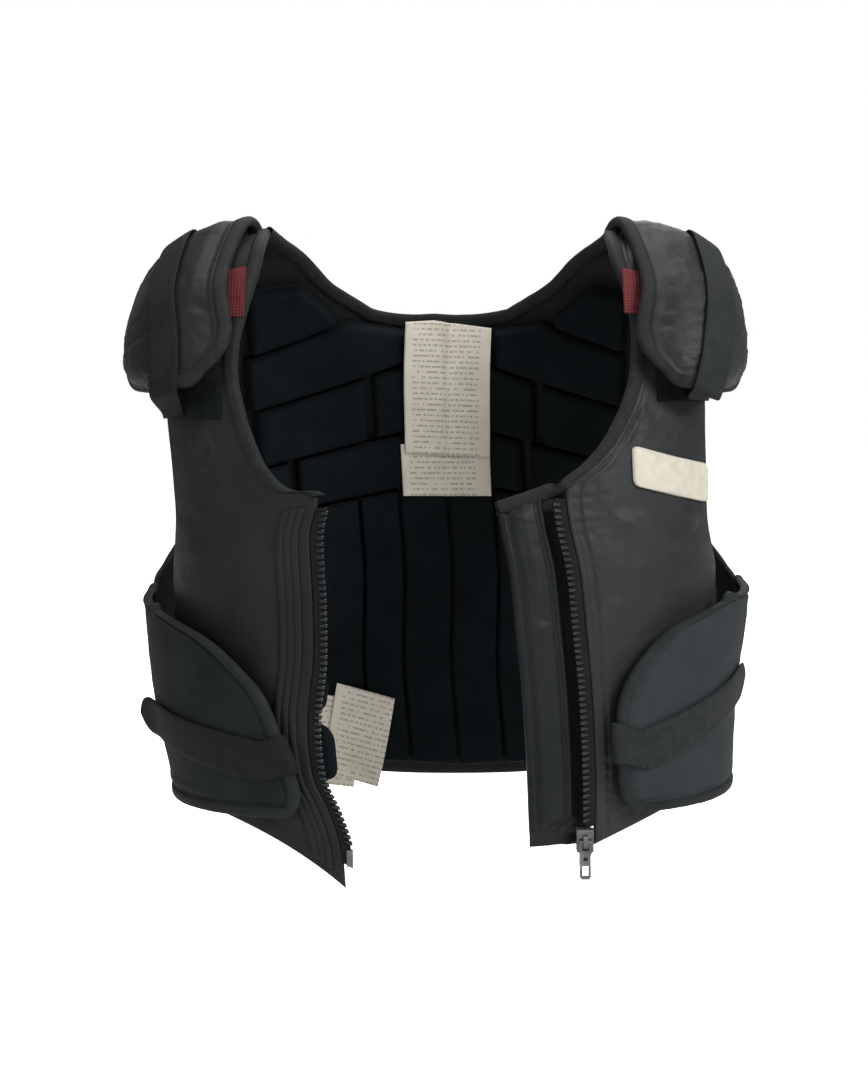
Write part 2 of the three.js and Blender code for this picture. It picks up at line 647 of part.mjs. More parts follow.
const sliderAside = 2.2;
const sliderDeep = -0.8;
const rightFoot = beside(faces.right, 0, zipFoot.right / panelRows.right, -1, 0, 1);
const sliderAt = off(rightFoot, sliderWidth / 2 + sliderAside, sliderDeep);
sliderAt.z -= sliderHeight / 2 + 3 * seam;

// The slider: two plates round the teeth's channel, joined by a post, with a bridge in front
const wasm = await Module();
wasm.setup();

function toManifold(geometry) {
  const bare = geometry.clone();
  bare.deleteAttribute('normal');
  bare.deleteAttribute('uv');
  const merged = mergeVertices(bare, 1e-4);
  return new wasm.Manifold(new wasm.Mesh({
    numProp: 3,
    vertProperties: new Float32Array(merged.attributes.position.array),
    triVerts: new Uint32Array(merged.index.array),
  }));
}

function fromManifold(body) {
  const mesh = body.getMesh();
  const geometry = new THREE.BufferGeometry();
  geometry.setAttribute('position', new THREE.BufferAttribute(new Float32Array(mesh.vertProperties), 3));
  geometry.setIndex(new THREE.BufferAttribute(new Uint32Array(mesh.triVerts), 1));
  geometry.computeVertexNormals();
  return geometry;
}

function outline(corners) {
  return new THREE.Shape(corners.map(([x, y]) => new THREE.Vector2(x, y)));
}

function rectangle(x, low, high) {
  return [[-x, low], [x, low], [x, high], [-x, high]];
}

const sliderPlate = 1.6;
const postWidth = 3;
const postHeight = 5;
const plateOffset = (sliderWall - sliderPlate) / 2;
const sink = 0.2;
const bridgeHalf = bridgeSpan / 2 + bridgeWall;
const bridgeOut = bridgeDepth + bridgeWall;
const chamfer = 1;
const bridge = new THREE.ExtrudeGeometry(outline([
  [-sink, -bridgeHalf], [bridgeOut - chamfer, -bridgeHalf], [bridgeOut, -bridgeHalf + chamfer],
  [bridgeOut, bridgeHalf - chamfer], [bridgeOut - chamfer, bridgeHalf], [-sink, bridgeHalf],
  [-sink, bridgeSpan / 2], [bridgeDepth, bridgeSpan / 2], [bridgeDepth, -bridgeSpan / 2],
  [-sink, -bridgeSpan / 2],
]), { depth: bridgeWidth, bevelEnabled: false });
bridge.translate(0, 0, -bridgeWidth / 2);
bridge.rotateX(Math.PI / 2);
bridge.rotateZ(-Math.PI / 2);
bridge.translate(0, -sliderWall / 2, 0);
const plates = [-plateOffset, plateOffset].map(
  (y) => block(sliderWidth, sliderHeight, sliderPlate).translate(0, y, 0));
const post = block(postWidth, postHeight, sliderWall - sliderPlate);
post.translate(0, 0, (sliderHeight - postHeight) / 2);
const sliderBody = [plates[1], post, bridge].reduce(
  (body, piece) => body.add(toManifold(piece)), toManifold(plates[0]));
const slider = place('zip_slider', materials.metal, fromManifold(sliderBody));
slider.position.copy(sliderAt);

// The pull hangs by its bar in the bridge and swings about it
const bridgeReach = Math.hypot(bridgeHalf, bridgeDepth / 2 + bridgeWall);
const slotHalf = bridgeWidth / 2 + slotClearance;
const slotFoot = -bridgeReach - slotClearance;
const pullShape = outline([
  [-pullWidth / 2, pullBar / 2], [-pullWidth / 2, slotFoot - 1.5], [-pullWidth * 0.4, slotFoot - 3.5],
  [-pullWidth * 0.44, -pullLength + 2], [-pullWidth * 0.3, -pullLength], [pullWidth * 0.3, -pullLength],
  [pullWidth * 0.44, -pullLength + 2], [pullWidth * 0.4, slotFoot - 3.5], [pullWidth / 2, slotFoot - 1.5],
  [pullWidth / 2, pullBar / 2],
]);
pullShape.holes.push(outline(rectangle(slotHalf, slotFoot, -pullBar / 2)));
pullShape.holes.push(outline(rectangle(pullWidth * 0.17, -pullLength * 0.5, -pullLength * 0.4)));
pullShape.holes.push(outline(rectangle(pullWidth * 0.24, -pullLength + 2.2, -pullLength * 0.62)));
const pullGeometry = new THREE.ExtrudeGeometry(pullShape, { depth: pullWall, bevelEnabled: false });
pullGeometry.translate(0, 0, -pullWall / 2);
pullGeometry.rotateX(Math.PI / 2);
const pull = place('zip_pull', materials.metal, pullGeometry);
pull.position.copy(sliderAt);
pull.position.y -= sliderWall / 2 + bridgeDepth / 2;

const boxHeight = 9;
const boxWidth = 7;
const zipBox = place('zip_box', materials.metal, block(boxWidth, boxHeight, toothWall + 1));
zipBox.position.copy(sliderAt);
zipBox.position.z -= sliderHeight / 2 + boxHeight / 2 + 2 * seam;

// Bindings of the wings: along the bottom, round the front edge and along the top
function around(face, columns, rows, turned, whole) {
  const stations = [];
  const first = whole ? columns : columns + 1;
  for (let i = first - 1; i > 0; i -= 1) stations.push(beside(face, i / columns, 0, 0, -1, turned));
  stations.push(corner(face, 0, 0, turned));
  for (let i = 1; i < rows; i += 1) stations.push(beside(face, 0, i / rows, -1, 0, turned));
  stations.push(corner(face, 0, 1, turned));
  for (let i = 1; i < first; i += 1) stations.push(beside(face, i / columns, 1, 0, 1, turned));
  if (whole) {
    stations.push(corner(face, 1, 1, turned));
    for (let i = rows - 1; i > 0; i -= 1) stations.push(beside(face, 1, i / rows, 1, 0, turned));
    stations.push(corner(face, 1, 0, turned));
  }
  return stations;
}

// At a corner the way out is shared by both edges
function corner(face, u, v, turned) {
  const station = beside(face, u, v, u ? 1 : -1, 0, turned);
  const other = beside(face, u, v, 0, v ? 1 : -1, turned);
  return { ...station, out: station.out.clone().add(other.out) };
}

for (const { name, side, wing } of sides) {
  const wingFace = tableFace(wing, outerCoat, side);
  place(`wing_binding_${name}`, materials.binding,
    binding(around(wingFace, 7, wing.length - 1, side, false), wingEdge));
}

// Binding of the back's neck, from one shoulder down and up to the other
const neckStations = [];
for (let row = backRows; row > openRow; row -= 1) {
  neckStations.push(beside(backFace, stripColumns / backColumns, row / backRows, 1, 0, -1));
}
for (let column = stripColumns; column <= backColumns - stripColumns; column += 1) {
  neckStations.push(beside(backFace, column / backColumns, openRow / backRows, 0, 1, -1));
}
for (let row = openRow + 1; row <= backRows; row += 1) {
  neckStations.push(beside(backFace, 1 - stripColumns / backColumns, row / backRows, -1, 0, -1));
}
for (const [index, station] of neckStations.entries()) {
  const before = neckStations[index - 1] ?? station;
  const after = neckStations[index + 1] ?? station;
  station.out = after.point.clone().sub(before.point).cross(station.normal).normalize();
}
place('neck_binding_back', materials.binding, binding(neckStations, coverEdge));

// Shoulder caps with their bindings and the straps that hold them down
const capColumns = 7;
const capRows = 10;
// How far a cap slopes down from the neck before it bends, as a share of its height, and how
// square the bend is
const CAP_BEND = {
  left: { fall: 0.16, squareness: 2.5 },
  right: { fall: 0.14, squareness: 3.4 },
};

function capFace(side, { fall, squareness }) {
  return (u, v) => {
    const neck = new THREE.Vector3(side * evenly(CAP, 'neckX', v) * halfWidth,
      evenly(CAP, 'neckY', v) * frontDepth, evenly(CAP, 'neckZ', v) * bodyHeight);
    const arm = new THREE.Vector3(side * evenly(CAP, 'armX', v) * halfWidth,
      evenly(CAP, 'armY', v) * frontDepth, evenly(CAP, 'armZ', v) * bodyHeight);
    const bend = new THREE.Vector3(arm.x, neck.y, THREE.MathUtils.lerp(neck.z, arm.z, fall));
    const angle = u * Math.PI / 2;
    const sin = raise(Math.sin(angle), 2 / squareness);
    const cos = raise(Math.cos(angle), 2 / squareness);
    return neck.clone().add(arm).sub(bend)
      .addScaledVector(bend.clone().sub(neck), sin)
      .addScaledVector(bend.clone().sub(arm), cos);
  };
}

// A strap lying flat over stations of a point, its way across and its way out
function strap(stations, width) {
  return loft(stations.map(({ point, across, out }) => {
    const left = point.clone().addScaledVector(across, -width / 2);
    const right = point.clone().addScaledVector(across, width / 2);
    const thick = out.clone().multiplyScalar(webbing);
    return [left, right, right.clone().add(thick), left.clone().add(thick)];
  }));
}

function strapStation(face, u, v, alongU, alongV, height, turned) {
  const out = normalAt(face, u, v, turned);
  const ahead = face(u + alongU * fineStep, v + alongV * fineStep)
    .sub(face(u - alongU * fineStep, v - alongV * fineStep)).normalize();
  const point = face(u, v).addScaledVector(out, height);
  return { point, across: ahead.clone().cross(out).normalize(), out };
}

// Stations evenly spaced between two others, so that a strap twists little by little
function between(a, b, count) {
  return Array.from({ length: count }, (_, i) => {
    const at = (i + 1) / (count + 1);
    return {
      point: a.point.clone().lerp(b.point, at),
      across: a.across.clone().lerp(b.across, at).normalize(),
      out: a.out.clone().lerp(b.out, at).normalize(),
    };
  });
}

const strapLift = 2;
const capStrap = { left: 0.3, right: 0.33 };
const capStrapEnd = 0.92;
const velcroLift = 0.6;
const velcroWall = 1.4;
const velcroStrapAt = 0.76;
const strapDrop = 4;
// Where the patches lie on the front panels: shares of halfWidth from the middle, and of
// bodyHeight below the shoulder line
const VELCRO = {
  left: { inner: 0.665, outer: 0.865, high: 0.232, low: 0.288 },
  right: { inner: 0.690, outer: 0.860, high: 0.205, low: 0.262 },
};
const RED = {
  left: { inner: 0.592, outer: 0.662, high: 0.060, low: 0.135 },
  right: { inner: 0.592, outer: 0.660, high: 0.062, low: 0.130 },
};

// A patch on a layer between two distances from the middle line and two drops
function patchFace(coat, side, { inner, outer, high, low }, slant = 0) {
  return (u, v) => {
    const drop = THREE.MathUtils.lerp(low, high, v) + slant * u;
    const x = side * THREE.MathUtils.lerp(inner, outer, u) * halfWidth;
    return onBody(coat, turnAt(coat, x, drop), drop);
  };
}

for (const { name, side } of sides) {
  const face = capFace(side, CAP_BEND[name]);
  place(`shoulder_cap_${name}`, materials.cover,
    sheet(face, capColumns, capRows, padded(capWall, capEdge, 0.16, 0.1)));
  place(`cap_binding_${name}`, materials.binding,
    binding(around(face, capColumns, capRows, side, true), capEdge, 2.8 * seam, true));

  const velcro = patchFace(panelCoat, side, VELCRO[name]);
  place(`velcro_patch_${name}`, materials.webbing,
    sheet(lifted(velcro, velcroLift + velcroWall, side), 5, 3, () => velcroWall));
  const red = patchFace(panelCoat, side, RED[name]);
  place(`red_patch_${name}`, materials.red,
    sheet(lifted(red, velcroLift + tapeWall, side), 3, 5, () => tapeWall));

  const strapAt = capStrap[name];
  const stations = [];
  const over = 14;
  for (let i = 0; i <= over; i += 1) {
    stations.push(strapStation(face, strapAt, capStrapEnd * (1 - i / over), 0, -1, strapLift, side));
  }
  const edge = beside(face, strapAt, 0, 0, -1, side);
  const last = stations[stations.length - 1];
  const under = { ...last, point: off(edge, 2 * bindingRadius + strapDrop, -bindingRadius / 2) };
  const onVelcro = velcroLift + velcroWall + 2 * seam;
  const [first, end] = [0.14, 0.02].map(
    (share) => strapStation(velcro, velcroStrapAt, share, 0, -1, onVelcro, side));
  // Where the strap turns in under the cap and down again, its wall looks halfway down
  for (const station of [under, first]) station.out = station.out.clone().add(edge.out).normalize();
  stations.push(under, ...between(under, first, 3), first, end);
  place(`shoulder_strap_${name}`, materials.webbing, strap(stations, shoulderStrapWidth));
}

// Elastic straps round the wings: drops of their middle line at the front edge and at the side,
// the row of the wing's table where they turn round its edge, and how far the loose end curls out
const WING_STRAP = {
  left: { front: 0.797, side: 0.766, row: 2.75, curl: 6 },
  right: { front: 0.781, side: 0.716, row: 2.6, curl: 0 },
};
const strapSideTurn = 71;

for (const { name, side, wing } of sides) {
  const row = WING_STRAP[name];
  const face = tableFace(wing, outerCoat, side);
  const edge = beside(face, 0, row.row / (wing.length - 1), -1, 0, side);
  const across = face(0, row.row / (wing.length - 1) + fineStep)
    .sub(face(0, row.row / (wing.length - 1) - fineStep)).normalize().multiplyScalar(-side);
  const round = 2 * bindingRadius + 4 * seam;
  const stations = [
    { point: off(edge, round, wingEdge * 0.7), across, out: edge.out },
    { point: off(edge, round, 0), across, out: edge.out.clone().add(edge.normal).normalize() },
    { point: off(edge, round * 0.6, -bindingRadius + wingEdge / 2 - seam), across, out: edge.normal },
  ];
  const shift = along(SECTIONS, 'drop', 'shift', row.front) * halfWidth;
  const frontTurn = Math.abs(turnAt(outerCoat, edge.point.x - shift, row.front)) + 4;
  const steps = 12;
  for (let i = 0; i <= steps; i += 1) {
    const share = i / steps;
    const path = (u, v) => onBody(outerCoat, side * THREE.MathUtils.lerp(frontTurn, strapSideTurn, u),
      THREE.MathUtils.lerp(row.front, row.side, u) - v);
    stations.push(strapStation(path, share, 0, 1, 0, 1.2, side));
  }
  const last = stations[stations.length - 1];
  const ahead = last.out.clone().cross(last.across).normalize();
  for (const share of [0.4, 0.75, 1]) {
    const tip = last.point.clone().addScaledVector(ahead, wingStrapEnd * share);
    stations.push({ ...last, point: tip.addScaledVector(last.out, row.curl * share ** 2) });
  }
  place(`wing_strap_${name}`, materials.webbing, strap(stations, wingStrapWidth));
}

// Padding blocks inside the back
const blockGap = 1;
const blockEdge = 7;
const backMiddle = 8;
// Lines between the blocks: drop at the middle of the back, as a share of bodyHeight, and how
// much they fall towards the sides for each mm across
const LINES = {
  neck: { drop: 0.306, fall: -0.94 },
  collar: { drop: 0.170, fall: -0.20 },
  ridge: { drop: 0.072, fall: 0 },
  loop: { drop: 0.169, fall: 0 },
  first: { drop: 0.083, fall: 0.31 },
  second: { drop: 0.184, fall: 0.30 },
  third: { drop: 0.302, fall: 0.25 },
  fourth: { drop: 0.406, fall: 0.20 },
  hem: { drop: 0.925, fall: -0.06 },
};
// Tops that follow the lower of two lines
const TOPS = {
  upper: ['ridge', 'neck'],
  shoulder: ['first', 'collar'],
};
// Each block lies between two lines, and between two distances to the right of the middle as
// shares of halfWidth
const BLOCKS = [
  { name: 'upper_left', top: 'upper', foot: 'first', from: -0.66, to: -0.345 },
  { name: 'upper_right', top: 'upper', foot: 'first', from: 0.42, to: 0.68 },
  { name: 'shoulder_left', top: 'shoulder', foot: 'second', from: -0.68, to: -0.10 },
  { name: 'middle', top: 'loop', foot: 'second', from: -0.08, to: 0.19 },
  { name: 'shoulder_right', top: 'shoulder', foot: 'second', from: 0.21, to: 0.68 },
  { name: 'chest_left', top: 'second', foot: 'third', from: -0.66, to: -0.25 },
  { name: 'chest_middle', top: 'second', foot: 'third', from: -0.23, to: 0.362 },
  { name: 'chest_right', top: 'second', foot: 'third', from: 0.382, to: 0.66 },
  { name: 'waist_left', top: 'third', foot: 'fourth', from: -0.66, to: -0.545 },
  { name: 'waist_middle', top: 'third', foot: 'fourth', from: -0.525, to: 0.314 },
  { name: 'waist_right', top: 'third', foot: 'fourth', from: 0.334, to: 0.64 },
  { name: 'side_left', top: 'fourth', foot: 'hem', from: -0.80, to: -0.475 },
  { name: 'channel_1', top: 'fourth', foot: 'hem', from: -0.475, to: -0.30 },
  { name: 'channel_2', top: 'fourth', foot: 'hem', from: -0.30, to: -0.15 },
  { name: 'channel_3', top: 'fourth', foot: 'hem', from: -0.15, to: 0.028 },
  { name: 'channel_4', top: 'fourth', foot: 'hem', from: 0.028, to: 0.20 },
  { name: 'channel_5', top: 'fourth', foot: 'hem', from: 0.20, to: 0.375 },
  { name: 'side_right', top: 'fourth', foot: 'hem', from: 0.375, to: 0.80 },
];

function lineDrop(line, x) {
  const drops = (TOPS[line] ?? [line]).map((name) => LINES[name].drop
    + LINES[name].fall * Math.abs(x - backMiddle) / bodyHeight);
  return Math.max(...drops);
}

function blockFace({ top, foot, from, to }, gap) {
  return (u, v) => {
    const x = THREE.MathUtils.lerp(from * halfWidth + gap / 2, to * halfWidth - gap / 2, u);
    const drop = THREE.MathUtils.lerp(lineDrop(foot, x) - gap / 2 / bodyHeight,
      lineDrop(top, x) + gap / 2 / bodyHeight, v);
    return onBody(outerCoat, 180 - turnAt(outerCoat, x, drop), drop);
  };
}

for (const row of BLOCKS) {
  const face = lifted(blockFace(row, blockSeam), -(coverWall + blockGap), -1);
  const width = row.to - row.from;
  const [columns, rimU] = width > 0.7 ? [7, 0.1] : width > 0.25 ? [5, 0.15] : [3, 0.3];
  const [rows, rimV] = row.foot === 'hem' ? [6, 0.08] : [3, 0.3];
  place(`back_block_${row.name}`, materials.block,
    sheet(face, columns, rows, padded(blockWall, blockEdge, rimU, rimV)));
}

// Second flap that shows under the left wing
const FLAP = { inner: 0.545, outer: 0.730, high: 0.790, low: 0.893 };
place('wing_flap_left', materials.wing,
  sheet(lifted(patchFace(panelCoat, -1, FLAP), flapWall + 2 * seam, -1), 4, 3, () => flapWall));

// Stitched ribs of the left front placket, between two rows of the panel's table
const placketNear = 8;
const placketWidth = 16;
const placketWall = 1.6;
const placketFoot = 0.35;
const placketTop = 7.7;
const probe = 0.05;
const ribs = 3;
function placketFace(u, v) {
  const at = THREE.MathUtils.lerp(placketFoot, placketTop, v) / panelRows.left;
  const edge = faces.left(0, at);
  const inwards = faces.left(probe, at).sub(edge).length();
  return faces.left(probe * (placketNear + placketWidth * u) / inwards, at);
}
const ribHeight = (u) => placketWall * (0.45 + 0.55 * Math.abs(Math.sin(Math.PI * ribs * u)));
place('placket_left', materials.cover, sheet(
  (u, v) => placketFace(u, v).addScaledVector(normalAt(placketFace, u, v, -1), 2 * seam + ribHeight(u)),
  2 * ribs, 14, ribHeight));

// Labels and the hanger loop inside the back
const insideDeep = coverWall + blockGap + blockWall + 2 * seam;
const neckLabel = { middle: 19, drop: 0.140, loop: 0.149, tilt: -0.035 };

// A patch inside the back, hanging down from a drop
function backPatch(middle, top, width, height, deep, tilt = 0) {
  return lifted((u, v) => {
    const x = middle + (u - 0.5) * width + tilt * (1 - v) * height;
    const drop = top + ((1 - v) * height - tilt * (u - 0.5) * width) / bodyHeight;
    return onBody(outerCoat, 180 - turnAt(outerCoat, x - backMiddle, drop), drop);
  }, -deep, -1);
}

const upperDeep = insideDeep + labelWall + 2 * seam;
place('neck_label_upper', materials.label, sheet(
  backPatch(neckLabel.middle, neckLabel.drop, labelWidth, labelHeight, upperDeep, neckLabel.tilt),
  4, 8, () => labelWall));
place('neck_label_lower', materials.label, sheet(
  backPatch(neckLabel.middle - 5, neckLabel.drop + (labelHeight - 8) / bodyHeight, labelWidth + 3,
    lowerLabelHeight + 8, insideDeep), 3, 2, () => labelWall));

const loopWidth = 31;
const loopHeight = 6;
place('hanger_loop', materials.webbing, sheet(
  backPatch(neckLabel.middle + 7, neckLabel.loop, loopWidth, loopHeight, coverWall + 2 * seam),
  3, 1, () => webbing));

// Two leaves of a label at the hem, one in front of the other
const SIDE_LABELS = [
  { name: 'front', middle: -56, drop: 0.787, tilt: -0.28, deep: upperDeep },
  { name: 'back', middle: -84, drop: 0.795, tilt: -0.15, deep: insideDeep },
];
for (const { name, middle, drop, tilt, deep } of SIDE_LABELS) {
  place(`side_label_${name}`, materials.label, sheet(
    backPatch(middle, drop, sideLabelWidth, sideLabelHeight, deep, tilt), 3, 3, () => labelWall));
}

// Moulded badge on the right chest
const BADGE = { middle: 0.722, drop: 0.373, slant: 0.27 };
const badgeFace = (u, v) => {
  const x = (BADGE.middle * halfWidth) + (u - 0.5) * badgeWidth;
  const drop = BADGE.drop + (BADGE.slant * (u - 0.5) * badgeWidth - (v - 0.5) * badgeHeight) / bodyHeight;
  return onBody(panelCoat, turnAt(panelCoat, x, drop), drop);
};
place('chest_badge', materials.badge,
  sheet(lifted(badgeFace, badgeWall + 2 * seam, 1), 5, 2, () => badgeWall));

export default group;
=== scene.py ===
import math

import bpy
import numpy as np
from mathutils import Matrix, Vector


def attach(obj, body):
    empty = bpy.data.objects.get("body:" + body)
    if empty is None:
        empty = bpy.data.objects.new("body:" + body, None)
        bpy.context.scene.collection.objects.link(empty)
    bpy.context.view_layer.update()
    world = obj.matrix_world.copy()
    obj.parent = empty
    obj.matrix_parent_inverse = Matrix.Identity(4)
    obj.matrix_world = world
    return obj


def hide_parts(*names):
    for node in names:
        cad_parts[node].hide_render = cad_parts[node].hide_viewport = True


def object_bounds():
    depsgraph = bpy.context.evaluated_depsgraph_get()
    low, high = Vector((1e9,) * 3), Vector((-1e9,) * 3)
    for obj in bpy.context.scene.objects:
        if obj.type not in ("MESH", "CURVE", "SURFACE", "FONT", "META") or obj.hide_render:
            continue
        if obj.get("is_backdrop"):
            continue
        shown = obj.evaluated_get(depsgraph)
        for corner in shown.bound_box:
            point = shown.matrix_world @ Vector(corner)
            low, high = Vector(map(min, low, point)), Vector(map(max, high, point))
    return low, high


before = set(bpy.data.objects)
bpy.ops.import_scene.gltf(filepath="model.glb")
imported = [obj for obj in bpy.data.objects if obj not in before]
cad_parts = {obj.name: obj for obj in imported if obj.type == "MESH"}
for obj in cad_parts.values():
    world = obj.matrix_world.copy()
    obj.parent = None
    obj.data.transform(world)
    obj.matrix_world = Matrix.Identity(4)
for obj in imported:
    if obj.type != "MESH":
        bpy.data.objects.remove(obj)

cad_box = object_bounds()

# Camera, at the photograph's angle: sizes in metres, focal length in the photograph's pixels

PHOTO_WIDTH = 868
FOCAL_PIXELS = 1831
CAMERA_DISTANCE = 1.3
CAMERA_RAISED = math.radians(6)
AIM = Vector((0, 0, -0.214))

camera_data = bpy.data.cameras.new("camera")
camera_data.sensor_fit = "HORIZONTAL"
camera_data.sensor_width = 36
camera_data.lens = 36 * FOCAL_PIXELS / PHOTO_WIDTH
camera = bpy.data.objects.new("camera", camera_data)
bpy.context.collection.objects.link(camera)
backwards = Vector((0, -math.cos(CAMERA_RAISED), math.sin(CAMERA_RAISED)))
camera.location = AIM + backwards * CAMERA_DISTANCE
camera.rotation_euler = (math.pi / 2 - CAMERA_RAISED, 0, 0)
bpy.context.scene.camera = camera

# Sizes in millimetres, as in the part's source

HEIGHT = 434
HALF = 212
FRONT = 130
BACK_DEPTH = 122
SQUARE = 2.4
PANEL_WALL, PANEL_EDGE = 15, 5
COVER_WALL = 4
BLOCK_WALL, BLOCK_GAP, BLOCK_SEAM = 15, 1, 2.6
WING_WALL, WING_EDGE = 7, 4
FLAP_WALL = 2
CAP_WALL, CAP_EDGE = 8, 4.5
WEBBING = 1.6
LABEL_WALL = 1
SEAM = 0.3
BINDING = 2.9
RIDGE_FADE = 0.3
SHOULDER_SLOPE, SHOULDER_DROOP, SHOULDER_SINK = 0.28, 0.0024, -1
NECK_HALF = 0.604 * HALF
NECK_ASIDE = 4


def table(columns, *rows):
    return dict(zip(columns.split(), np.array(rows, float).T))


SECTIONS = table(
    "drop panel wing shift front back",
    (0.000, 0.93, 0.94, 0.000, 0.00, 0.00), (0.025, 0.93, 0.94, 0.000, 0.30, 0.30),
    (0.060, 0.93, 0.94, 0.000, 0.47, 0.47), (0.120, 0.93, 0.94, 0.000, 0.64, 0.64),
    (0.210, 0.93, 0.94, 0.000, 0.79, 0.79), (0.320, 0.92, 0.95, 0.010, 0.91, 0.90),
    (0.460, 0.90, 0.98, 0.024, 0.98, 0.98), (0.576, 0.90, 1.00, 0.040, 1.00, 1.00),
    (0.737, 0.90, 0.97, 0.036, 1.00, 0.98), (0.887, 0.88, 0.935, 0.060, 1.00, 0.95),
    (1.000, 0.87, 0.92, 0.066, 1.00, 0.93))

FRONT_LEFT = table(
    "inner innerDrop turn outerDrop fall",
    (0.275, 0.993, 96, 0.893, 4.5), (0.288, 0.925, 96, 0.857, 3.0), (0.325, 0.872, 96, 0.811, 2.0),
    (0.372, 0.820, 96, 0.772, 1.5), (0.387, 0.737, 96, 0.714, 1.0), (0.368, 0.647, 96, 0.645, 1.0),
    (0.368, 0.560, 90, 0.576, 1.0), (0.377, 0.460, 76, 0.505, 1.0), (0.358, 0.399, 71, 0.465, 1.0),
    (0.467, 0.392, 69, 0.435, 1.0), (0.538, 0.362, 68, 0.400, 1.0), (0.583, 0.318, 67, 0.350, 1.0),
    (0.613, 0.276, 67, 0.295, 1.0), (0.637, 0.226, 67, 0.240, 1.0), (0.637, 0.175, 67, 0.184, 1.0),
    (0.613, 0.124, 66, 0.129, 1.0), (0.580, 0.065, 65, 0.065, 1.0), (0.568, 0.022, 64, 0.024, 1.0),
    (0.566, 0.0012, 64, 0.0016, 1.0))
FRONT_RIGHT = table(
    "inner innerDrop turn outerDrop fall",
    (0.495, 0.929, 96, 0.857, 2.6), (0.498, 0.887, 96, 0.820, 2.2), (0.498, 0.827, 96, 0.772, 1.5),
    (0.493, 0.763, 96, 0.714, 1.0), (0.481, 0.677, 96, 0.645, 1.0), (0.462, 0.592, 90, 0.560, 1.0),
    (0.443, 0.509, 78, 0.505, 1.0), (0.410, 0.438, 72, 0.460, 1.0), (0.406, 0.385, 70, 0.425, 1.0),
    (0.472, 0.357, 69, 0.390, 1.0), (0.533, 0.327, 68, 0.355, 1.0), (0.580, 0.290, 67, 0.315, 1.0),
    (0.611, 0.258, 67, 0.275, 1.0), (0.637, 0.214, 67, 0.225, 1.0), (0.644, 0.141, 67, 0.148, 1.0),
    (0.620, 0.083, 66, 0.086, 1.0), (0.590, 0.045, 65, 0.043, 1.0), (0.586, 0.0014, 65, 0.0020, 1.0))
BACK = table(
    "turn outerDrop inner innerDrop middleDrop",
    (85, 0.893, 0.46, 0.925, 0.943), (85, 0.790, 0.44, 0.800, 0.806), (85, 0.680, 0.42, 0.680, 0.680),
    (85, 0.576, 0.40, 0.570, 0.565), (76, 0.540, 0.37, 0.500, 0.480), (66, 0.490, 0.34, 0.430, 0.400),
    (60, 0.410, 0.24, 0.280, 0.265), (59, 0.310, 0.17, 0.165, 0.175), (61, 0.210, 0.25, 0.138, 0.153),
    (62, 0.155, 0.32, 0.117, 0.153), (63, 0.110, 0.40, 0.090, 0.153), (64, 0.065, 0.475, 0.048, 0.153),
    (64, 0.0020, 0.575, 0.0014, 0.153))
NECK_ROW, BACK_ROWS = 8, 12
WING_LEFT = table(
    "inner innerDrop turn outerDrop fall",
    (0.455, 0.873, 94, 0.891, 1.0), (0.440, 0.858, 94, 0.862, 1.0), (0.442, 0.832, 94, 0.834, 1.0),
    (0.490, 0.767, 94, 0.780, 1.0), (0.545, 0.702, 94, 0.720, 1.0), (0.622, 0.660, 94, 0.680, 1.0),
    (0.722, 0.622, 94, 0.640, 1.0), (0.832, 0.600, 94, 0.608, 1.0), (0.920, 0.587, 94, 0.580, 1.0))
WING_RIGHT = table(
    "inner innerDrop turn outerDrop fall",
    (0.632, 0.868, 94, 0.872, 1.0), (0.604, 0.850, 94, 0.848, 1.0), (0.592, 0.806, 94, 0.806, 1.0),
    (0.586, 0.744, 94, 0.760, 1.0), (0.596, 0.702, 94, 0.722, 1.0), (0.630, 0.664, 94, 0.686, 1.0),
    (0.686, 0.630, 94, 0.650, 1.0), (0.760, 0.600, 94, 0.616, 1.0), (0.868, 0.580, 94, 0.590, 1.0),
    (0.960, 0.566, 94, 0.566, 1.0))
CAP = table(
    "neckX neckY neckZ armX armY armZ",
    (0.755, -0.74, -0.228, 0.892, -0.48, -0.246), (0.680, -0.72, -0.192, 0.960, -0.32, -0.243),
    (0.652, -0.66, -0.150, 0.995, -0.17, -0.228), (0.676, -0.50, -0.074, 1.006, -0.05, -0.210),
    (0.632, -0.08, 0.020, 1.008, 0.09, -0.200), (0.600, 0.22, 0.012, 1.002, 0.23, -0.206),
    (0.604, 0.48, -0.050, 0.985, 0.36, -0.222), (0.642, 0.68, -0.124, 0.940, 0.49, -0.238),
    (0.720, 0.78, -0.196, 0.867, 0.62, -0.240))

# Curves through the tables


def hermite(a, b, slope_a, slope_b, t):
    t2, t3 = t * t, t * t * t
    return (a * (2 * t3 - 3 * t2 + 1) + slope_a * (t3 - 2 * t2 + t)
            + b * (3 * t2 - 2 * t3) + slope_b * (t3 - t2))


def along(rows, place, column, at):
    xs, ys = rows[place], rows[column]
    last = len(xs) - 1
    a = np.clip(np.searchsorted(xs, at) - 1, 0, last - 1)
    b, before, after = a + 1, np.maximum(a - 1, 0), np.minimum(a + 2, last)
    span = xs[b] - xs[a]
    t = np.clip((at - xs[a]) / span, 0, 1)
    return hermite(ys[a], ys[b], (ys[b] - ys[before]) / (xs[b] - xs[before]) * span,
                   (ys[after] - ys[a]) / (xs[after] - xs[a]) * span, t)


def evenly(rows, column, at):
    ys = rows[column]
    last = len(ys) - 1
    place = np.clip(at, 0, 1) * last
    a = np.minimum(np.floor(place).astype(int), last - 1)
    b, before, after = a + 1, np.maximum(a - 1, 0), np.minimum(a + 2, last)
    return hermite(ys[a], ys[b], (ys[b] - ys[before]) / 2, (ys[after] - ys[a]) / 2, place - a)


def power(value, exponent):
    return np.sign(value) * np.abs(value) ** exponent


